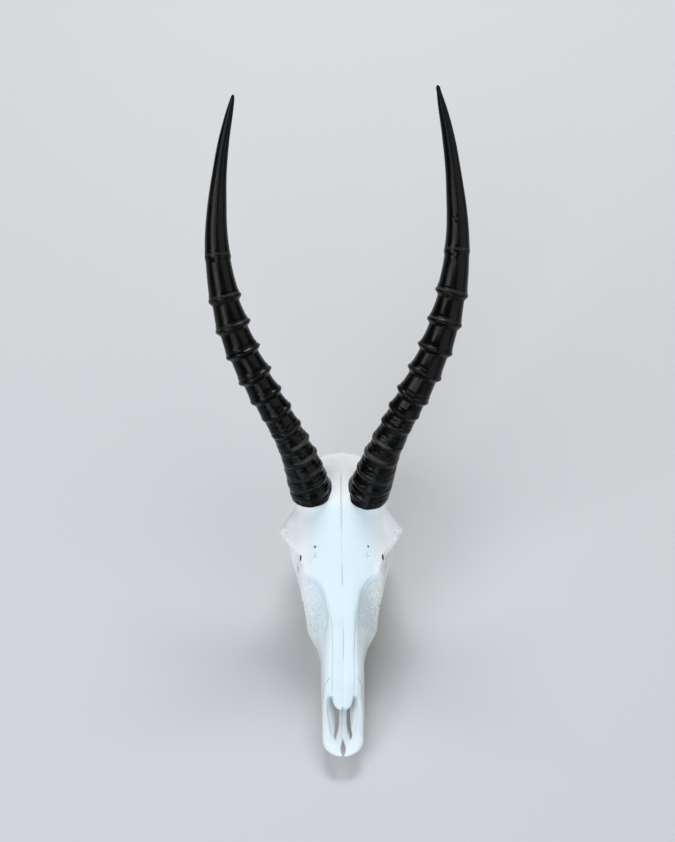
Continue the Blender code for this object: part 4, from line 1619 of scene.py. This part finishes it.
    def widths(self, along: Array, rows: Array, angle: Array, lift: Array) -> Array:
        """Radius of the horn at each of its corners.

        The tip is rounded as a quarter circle, the base narrows a little at its very edge
        and bulges forwards, as a bell curve along it and a squared cosine round it.

        Args:
            along: (rows, 1) places from the base.
            rows: (rows, columns) the same, pushed up where the base is slanted.
            angle: (1, columns) angles from the strong side.
            lift: (rows, columns) heights of the rings and the fine relief.

        Returns:
            (rows, columns) radii.
        """
        start, end = self.slimmer_along
        slimmed = np.clip((rows - start) / (end - start), 0, 1)
        radius = cubic_curve(rows, *np.asarray(self.radii, float).T) - self.slimmer * slimmed
        to_tip = self.length - rows
        radius = radius * np.sqrt(1 - np.clip(1 - to_tip / self.tip_round, 0, 1) ** 2)
        width = radius + lift * ramp(to_tip, *self.tip_smooth)
        width *= 1 - self.base_round[0] * np.clip(1 - along / self.base_round[1], 0, 1) ** 2
        front = np.clip(np.cos(angle - self.side.value * self.bulge_turn), 0.0, 1.0) ** 2
        return width + self.base_bulge * front * bump(along, 0.0, self.bulge_ends)

    def build(self, finish: "HornFinish") -> Object:
        """Makes the horn as a closed tube of sections.

        Args:
            finish: the horn's material.

        Returns:
            The new piece, which stands for the CAD horn of the same side.
        """
        along = np.linspace(0.0, 1.0, int(self.length / self.spacing))[:, None] * self.length
        angle = np.linspace(0, 2 * math.pi, self.around, endpoint=False)[None, :]
        _, first_out, first_across = self.directions(np.array([0.0]))
        outward = np.cos(angle) * first_out[0, 0] + np.sin(angle) * first_across[0, 0]
        raised = self.base_raised + self.base_slanted * outward * self.side.value
        rows = along + raised * (1 - ramp(along, 0, self.slant_ends))
        lift, worn = self.ring_lift(rows, angle)
        width = self.widths(along, rows, angle, lift + self.fine_relief(rows, angle))
        _, out, across = self.directions(rows)
        spoke = np.cos(angle)[..., None] * out + np.sin(angle)[..., None] * across
        middle = self.middle(rows)
        grid = middle + spoke * width[..., None]
        hub = middle[0].mean(axis=0)
        caps = [hub + (grid[:1] - hub) * scale for scale in self.cap_scales]
        points = np.concatenate([*caps, grid])
        name = f"horn_sheath_{self.side.word}"
        mesh = new_mesh(f"{name}_surface", points.reshape(-1, 3),
                        tube_quads(len(points), self.around))
        grain = self.unrolled(rows, angle, self.grain_radius)
        front = ((len(caps), 0), (0, 0))
        store(mesh, grain=np.pad(grain, (*front, (0, 0))).reshape(-1, 3),
              worn=np.pad(worn, front).ravel(),
              smooth=np.pad(ramp(rows, *self.smooth_along), front).ravel())
        close_tube(mesh)
        mesh.materials.append(finish.material(self.side))
        return stand_for(new_object(name, mesh), f"horn_{self.side.word}")


# ---- finishes ----


class NodeSheet:
    """Builds one material's nodes, and joins them up by name."""

    def __init__(self, name: str) -> None:
        """Starts a Principled material.

        Args:
            name: its name.
        """
        self.made = bpy.data.materials.new(name)
        self.made.use_nodes = True
        self.tree = self.made.node_tree

    def feed(self, node: Node, **inputs: object) -> None:
        """Fills a node's inputs.

        Args:
            node: the node.
            inputs: a socket to join or a plain value, by the input's name with underscores
                for spaces, or by i and its number.
        """
        for key, value in inputs.items():
            numbered = key[0] == "i" and key[1:].isdigit()
            socket = node.inputs[int(key[1:]) if numbered else key.replace("_", " ")]
            if isinstance(value, NodeSocket):
                self.tree.links.new(value, socket)
            else:
                socket.default_value = value

    def add(self, kind: str, settings: dict | None = None, **inputs: object) -> Node:
        """Adds a node.

        Args:
            kind: the node's type.
            settings: plain properties to set.
            inputs: what feed takes.

        Returns:
            The new node.
        """
        node = self.tree.nodes.new(kind)
        for key, value in (settings or {}).items():
            setattr(node, key, value)
        self.feed(node, **inputs)
        return node

    def place(self, scale: Place = (1.0, 1.0, 1.0)) -> NodeSocket:
        """Object coordinates, scaled."""
        where = self.add("ShaderNodeTexCoord").outputs["Object"]
        return self.add("ShaderNodeMapping", Vector=where, Scale=scale).outputs["Vector"]

    def value(self, name: str, output: str = "Fac") -> NodeSocket:
        """A stored corner value."""
        return self.add("ShaderNodeAttribute", {"attribute_name": name}).outputs[output]

    def noise(self, where: NodeSocket, scale: float, detail: float = 3.0,
              rough: float = 0.5) -> NodeSocket:
        """Fractal noise from 0 to 1."""
        return self.add("ShaderNodeTexNoise", Vector=where, Scale=scale, Detail=detail,
                        Roughness=rough).outputs["Fac"]

    def spread(self, value: NodeSocket, low: float, high: float,
               to_low: float = 0.0, to_high: float = 1.0) -> NodeSocket:
        """Maps low..high onto to_low..to_high with a smooth step, held at both ends."""
        return self.add("ShaderNodeMapRange", {"interpolation_type": "SMOOTHSTEP"}, Value=value,
                        From_Min=low, From_Max=high, To_Min=to_low, To_Max=to_high).outputs[0]

    def reckon(self, how: str, first: object, second: object) -> NodeSocket:
        """One arithmetic step on two values."""
        return self.add("ShaderNodeMath", {"operation": how}, i0=first, i1=second).outputs[0]

    def coat(self, colour: object, *coats: tuple) -> object:
        """Lays colours over one another, each as far as a value shows it.

        Args:
            colour: the lowest colour.
            coats: rows of (value, low, high, most, colour): the colour shows from low on and
                reaches its most at high.

        Returns:
            The mixed colour.
        """
        for value, low, high, most, over in coats:
            share = self.spread(value, low, high, 0.0, most)
            mixed = self.add("ShaderNodeMix", {"data_type": "RGBA"}, i0=share, i6=colour, i7=over)
            colour = mixed.outputs[2]
        return colour

    def tilt(self, *layers: tuple) -> NodeSocket:
        """Tilts the surface.

        Args:
            layers: rows of (height, strength, distance), the first lying undermost.

        Returns:
            The tilted normal.
        """
        under = {}
        for height, strength, distance in layers:
            node = self.add("ShaderNodeBump", Height=height, Strength=strength,
                            Distance=distance, **under)
            under = {"Normal": node.outputs["Normal"]}
        return under["Normal"]

    def dress(self, **inputs: object) -> Material:
        """Feeds the shader, and gives the finished material."""
        self.feed(self.tree.nodes["Principled BSDF"], **inputs)
        return self.made


@dataclass(frozen=True)
class Seam:
    """A line where two bones meet: names of its stored distance and strength, and of the noise
    that bends it, then half its width and how dark it is at most."""

    place: str
    shown: str
    sway: str
    width: float
    strength: float = 1.0
    core: float = 0.2


@dataclass(frozen=True)
class BoneFinish:
    """Bleached dry bone: cool white where it faces out, cream and then dark brown painted shade in
    the recesses.
    """

    white: Colour = (0.70, 0.835, 0.90, 1.0)
    warm: Colour = (0.90, 0.905, 0.91, 1.0)
    # The cream colour is both a random tint of the bone and painted shade; the shade colour is
    # painted shade in the deepest recesses.
    cream: Colour = (0.66, 0.62, 0.52, 1.0)
    shade: Colour = (0.33, 0.29, 0.23, 1.0)
    seam: Colour = (0.36, 0.38, 0.36, 1.0)
    rough: Span = (0.42, 0.62)
    gloss: float = 0.4
    blotch_scale: float = 26.0
    pore_scale: float = 900.0
    grain_scale: float = 420.0
    grain_stretch: Place = (1.0, 0.16, 1.0)
    lump_scale: float = 170.0
    zigzag_scale: float = 520.0
    zigzag_reach: Span = (1.2, 8.0)
    ragged_scale: float = 260.0
    ragged_reach: float = 3.0
    seams: tuple[Seam, ...] = (
        Seam("across", "frontal_line", "zigzag", 0.75, 0.8),
        Seam("across", "middle_line", "", 0.5, 0.7),
        Seam("from_nasal", "nasal_line", "fine", 0.55),
        Seam("from_premaxilla", "premaxilla_line", "ragged", 0.6),
        Seam("from_vault", "vault_line", "ragged", 0.7),
        Seam("from_cheek", "cheek_line", "ragged", 0.5, 0.45),
    )

    def seam_lines(self, sheet: NodeSheet) -> NodeSocket:
        """All seams as one value, the greatest of them.

        A seam shows where the size of its distance, less its sway, is under its width.

        Args:
            sheet: where the nodes go.

        Returns:
            A value from 0 to 1.
        """
        lengthwise = sheet.noise(sheet.place((0.0, 1.0, 0.0)), self.zigzag_scale, 2.0, 0.6)
        fine = sheet.reckon("SUBTRACT", lengthwise, 0.5)
        reach = sheet.spread(sheet.value("zigzag"), 0.0, 1.0, *self.zigzag_reach)
        ragged = sheet.reckon("SUBTRACT", sheet.noise(sheet.place(), self.ragged_scale), 0.5)
        sways = {"": 0.0, "fine": fine, "zigzag": sheet.reckon("MULTIPLY", fine, reach),
                 "ragged": sheet.reckon("MULTIPLY", ragged, self.ragged_reach)}
        lines = 0.0
        for seam in self.seams:
            bent = sheet.reckon("SUBTRACT", sheet.value(seam.place), sways[seam.sway])
            away = sheet.reckon("ABSOLUTE", bent, 0.0)
            thin = sheet.spread(away, seam.core * seam.width, seam.width, seam.strength, 0.0)
            line = sheet.reckon("MULTIPLY", thin, sheet.value(seam.shown))
            lines = sheet.reckon("MAXIMUM", lines, line)
        return lines

    def material(self) -> Material:
        """Makes the material: coats of colour, then seams, grain and lumps as bump.

        Returns:
            The new material.
        """
        sheet = NodeSheet("bleached_bone")
        where = sheet.place()
        enclosed = sheet.value("enclosed")
        blotches = sheet.noise(where, self.blotch_scale, 4.0)
        seams = self.seam_lines(sheet)
        colour = sheet.coat(
            self.white,
            (sheet.value("warm"), 0.0, 1.0, 0.85, self.warm),
            (blotches, 0.4, 0.8, 0.28, self.cream),
            # The cream mask is partly a tint and partly painted shade on sideways and downward
            # faces; the two coats by enclosure are painted shade in recesses.
            (sheet.value("cream"), 0.0, 1.0, 0.75, self.cream),
            (enclosed, 0.45, 0.95, 0.85, self.cream),
            (enclosed, 0.82, 1.0, 0.9, self.shade),
            (sheet.noise(where, self.pore_scale, 2.0, 0.6), 0.66, 0.85, 0.3, self.seam),
            (seams, 0.0, 1.0, 0.8, self.seam),
        )
        grain = sheet.noise(sheet.place(self.grain_stretch), self.grain_scale, 4.0, 0.6)
        lumps = sheet.noise(where, self.lump_scale, 4.0)
        tilt = sheet.tilt((sheet.reckon("SUBTRACT", 1.0, seams), 0.6, 0.0004),
                          (grain, 0.35, 0.0005), (lumps, 0.3, 0.001))
        return sheet.dress(Base_Color=colour, Normal=tilt, Specular_IOR_Level=self.gloss,
                           Roughness=sheet.spread(blotches, 0.3, 0.8, *self.rough))


@dataclass(frozen=True)
class HornFinish:
    """Near-black horn: dull and ribbed low down, glossier towards the tip."""

    black: Colour = (0.0004, 0.0005, 0.0006, 1.0)
    brown: Colour = (0.0035, 0.0026, 0.0018, 1.0)
    dusty: Colour = (0.045, 0.043, 0.035, 1.0)
    rough: Span = (0.15, 0.2)
    gloss: float = 0.15
    fibre_stretch: Place = (1.0, 1.0, 0.035)
    fibre_scale: float = 1.0
    blotch_scale: float = 0.09
    speck_scale: float = 0.9
    bumpiness: Span = (0.5, 0.16)

    def material(self, side: Side) -> Material:
        """Makes the material for one horn: brown blotches, then dust on the worn crests.

        Args:
            side: the horn's side.

        Returns:
            The new material.
        """
        sheet = NodeSheet(f"black_horn_{side.word}")
        grain = sheet.value("grain", "Vector")
        fibres = sheet.add("ShaderNodeMapping", Vector=grain, Scale=self.fibre_stretch)
        streaks = sheet.noise(fibres.outputs["Vector"], self.fibre_scale, 5.0, 0.62)
        blotches = sheet.noise(grain, self.blotch_scale, 4.0, 0.6)
        specks = sheet.noise(grain, self.speck_scale, 3.0, 0.6)
        smooth = sheet.value("smooth")
        dust = sheet.reckon("MULTIPLY", sheet.value("worn"),
                            sheet.spread(specks, 0.3, 0.55, 0.45, 1.0))
        colour = sheet.coat(self.black, (blotches, 0.52, 0.75, 0.9, self.brown),
                            (dust, 0.12, 0.75, 1.0, self.dusty))
        calm = sheet.spread(smooth, 0.0, 1.0, *self.bumpiness)
        tilt = sheet.tilt((sheet.reckon("MULTIPLY", streaks, calm), 0.35, 0.0009),
                          (sheet.reckon("MULTIPLY", specks, calm), 0.35, 0.0007))
        rough = sheet.spread(smooth, 0.0, 1.0, *self.rough)
        rough = sheet.reckon("ADD", rough, sheet.spread(blotches, 0.3, 0.7, -0.05, 0.09))
        rough = sheet.reckon("ADD", rough, sheet.spread(dust, 0.1, 0.8, 0.0, 0.25))
        return sheet.dress(Base_Color=colour, Normal=tilt, Roughness=rough,
                           Specular_IOR_Level=self.gloss)


@dataclass(frozen=True)
class ToothFinish:
    """Ivory enamel, stained brown in the hollows of the worn face."""

    enamel: Colour = (0.74, 0.69, 0.56, 1.0)
    stain: Colour = (0.16, 0.10, 0.05, 1.0)
    roughness: float = 0.28
    line_stretch: Place = (1.0, 1.0, 0.15)
    line_scale: float = 700.0

    def material(self) -> Material:
        """Makes the material, once for all teeth.

        Returns:
            The material.
        """
        found = bpy.data.materials.get("ivory_enamel")
        if found:
            return found
        sheet = NodeSheet("ivory_enamel")
        lines = sheet.noise(sheet.place(self.line_stretch), self.line_scale, 3.0, 0.6)
        colour = sheet.coat(self.enamel, (lines, 0.5, 0.8, 0.5, self.stain),
                            (sheet.value("depth"), 0.2, 0.9, 1.0, self.stain))
        return sheet.dress(Base_Color=colour, Normal=sheet.tilt((lines, 0.3, 0.0004)),
                           Roughness=self.roughness)


# ---- camera, light and floor ----


@dataclass(frozen=True)
class Lamp:
    """A soft light that faces the skull: place in skull millimetres, size in metres, watts."""

    name: str
    place: Place
    size: Span
    power: float
    colour: Place = (1.0, 1.0, 1.0)

    def hang(self) -> None:
        """Adds it to the scene."""
        data = bpy.data.lights.new(self.name, "AREA")
        data.color, data.energy, data.shape = self.colour, self.power, "RECTANGLE"
        data.size, data.size_y = self.size
        start = Vector(in_scene(self.place))
        turn = (-start).to_track_quat("-Z", "Y").to_matrix().to_4x4()
        new_object(self.name, data).matrix_world = Matrix.Translation(start) @ turn


@dataclass(frozen=True)
class Studio:
    """Camera, soft lights and a pale floor.

    The eye is the camera's place in skull millimetres. It stands at the elevation and is
    rolled round its own axis, both in degrees. Lens and sensor are millimetres of its own.
    """

    eye: Place = (-3.06, -422.8, 1233.9)
    elevation: float = 57.0
    roll: float = 0.4
    lens: float = 58.36
    sensor: float = 36.0
    sight: float = 20.0
    floor_colour: Colour = (0.58, 0.585, 0.6, 1.0)
    floor_roughness: float = 0.8
    floor_reach: float = 6.0
    sky: Colour = (0.93, 0.96, 1.0, 1.0)
    sky_strength: float = 0.16
    lamps: tuple[Lamp, ...] = (
        Lamp("key", (-2000.0, -800.0, 2300.0), (2.0, 1.3), 38.0),
        Lamp("window", (-720.0, -2300.0, 1500.0), (1.0, 3.0), 33.0, (0.78, 0.9, 1.0)),
        Lamp("top", (100.0, 2000.0, 2100.0), (1.2, 0.6), 44.0),
        Lamp("right", (2100.0, -700.0, 1500.0), (3.2, 2.6), 27.5),
    )

    def build(self) -> None:
        """Adds all of it to the scene."""
        self.add_camera()
        self.add_floor()
        self.add_world()
        for lamp in self.lamps:
            lamp.hang()

    def add_camera(self) -> None:
        """Points the camera along +Y and down, then rolls it."""
        data = bpy.data.cameras.new("camera")
        data.lens, data.sensor_width, data.clip_end = self.lens, self.sensor, self.sight
        tilt = Matrix.Rotation(math.radians(90 - self.elevation), 4, "X")
        roll = Matrix.Rotation(math.radians(-self.roll), 4, "Z")
        camera = new_object("camera", data)
        camera.matrix_world = Matrix.Translation(in_scene(self.eye)) @ tilt @ roll
        bpy.context.scene.camera = camera

    def add_floor(self) -> None:
        """Lays a wide pale floor under the skull."""
        mesh = bpy.data.meshes.new("floor")
        corners = [(i * self.floor_reach, j * self.floor_reach, 0)
                   for i, j in ((-1, -1), (1, -1), (1, 1), (-1, 1))]
        mesh.from_pydata(corners, [], [(0, 1, 2, 3)])
        mesh.materials.append(NodeSheet("pale_floor").dress(
            Base_Color=self.floor_colour, Roughness=self.floor_roughness))
        new_object("floor", mesh)

    def add_world(self) -> None:
        """Fills the room with even light."""
        world = bpy.data.worlds.new("room")
        world.use_nodes = True
        background = world.node_tree.nodes["Background"]
        background.inputs["Color"].default_value = self.sky
        background.inputs["Strength"].default_value = self.sky_strength
        bpy.context.scene.world = world


# ---- the whole object ----


def horns() -> list[Horn]:
    """Lists the two horns, which differ a little in curve and in the places of their rings.

    Returns:
        The left one and the right one.
    """
    left = Horn(
        side=Side.LEFT, order=0, slimmer=0.8,
        line=(
            (-27.3, 223, 108), (-39, 240.5, 151), (-55.5, 259, 187), (-75.5, 282, 217),
            (-93, 309, 245), (-104.5, 340, 273), (-109.5, 372, 301.5), (-107.5, 402, 332),
            (-101.5, 428.5, 365), (-90.9, 453.9, 401.6),
        ),
        rings=(13, 24, 36, 50.5, 65.5, 82, 100.5, 119, 139.5, 164, 188.5, 214.5, 252),
    )
    right = Horn(
        side=Side.RIGHT, order=1, slimmer=0.0, base_raised=0.6, base_bulge=3.6,
        line=(
            (25.1, 223.2, 107), (38.3, 241, 152.5), (54.8, 259.5, 188), (74.3, 283, 219.5),
            (90.8, 311, 248), (101.3, 343, 277), (104.8, 375, 306), (101.8, 405.5, 337),
            (95.3, 433, 370.5), (84.9, 457.8, 407.0),
        ),
        rings=(10, 21, 33, 52, 68.5, 87, 102.5, 119, 142.5, 166, 191.5, 218.5, 256),
        scars=((284, 0.9, 1.5, -0.5), (287, 0.9, 1.2, 0.35), (250, 0.7, 5.0, 0.7),
               (254, 0.1, 4.0, 0.5)),
    )
    return [left, right]


def main() -> None:
    """Builds the skull, its horns and its teeth, then the studio."""
    logging.basicConfig(level=logging.INFO, format="%(message)s")
    bpy.context.scene.view_settings.view_transform = "Standard"
    row, pair = ToothRow(), horns()
    cranium = Cranium()
    pieces = [cranium.build([horn.seat() for horn in pair], row, BoneFinish())]
    pieces += [horn.build(HornFinish()) for horn in pair]
    pieces += [CheekTooth(row, *tooth, side).build(ToothFinish())
               for side in Side for tooth in row.teeth]
    for piece in pieces:
        log.info("%s: %d faces", piece.name, len(piece.data.polygons))
    Studio().build()


if __name__ == "__main__":
    main()
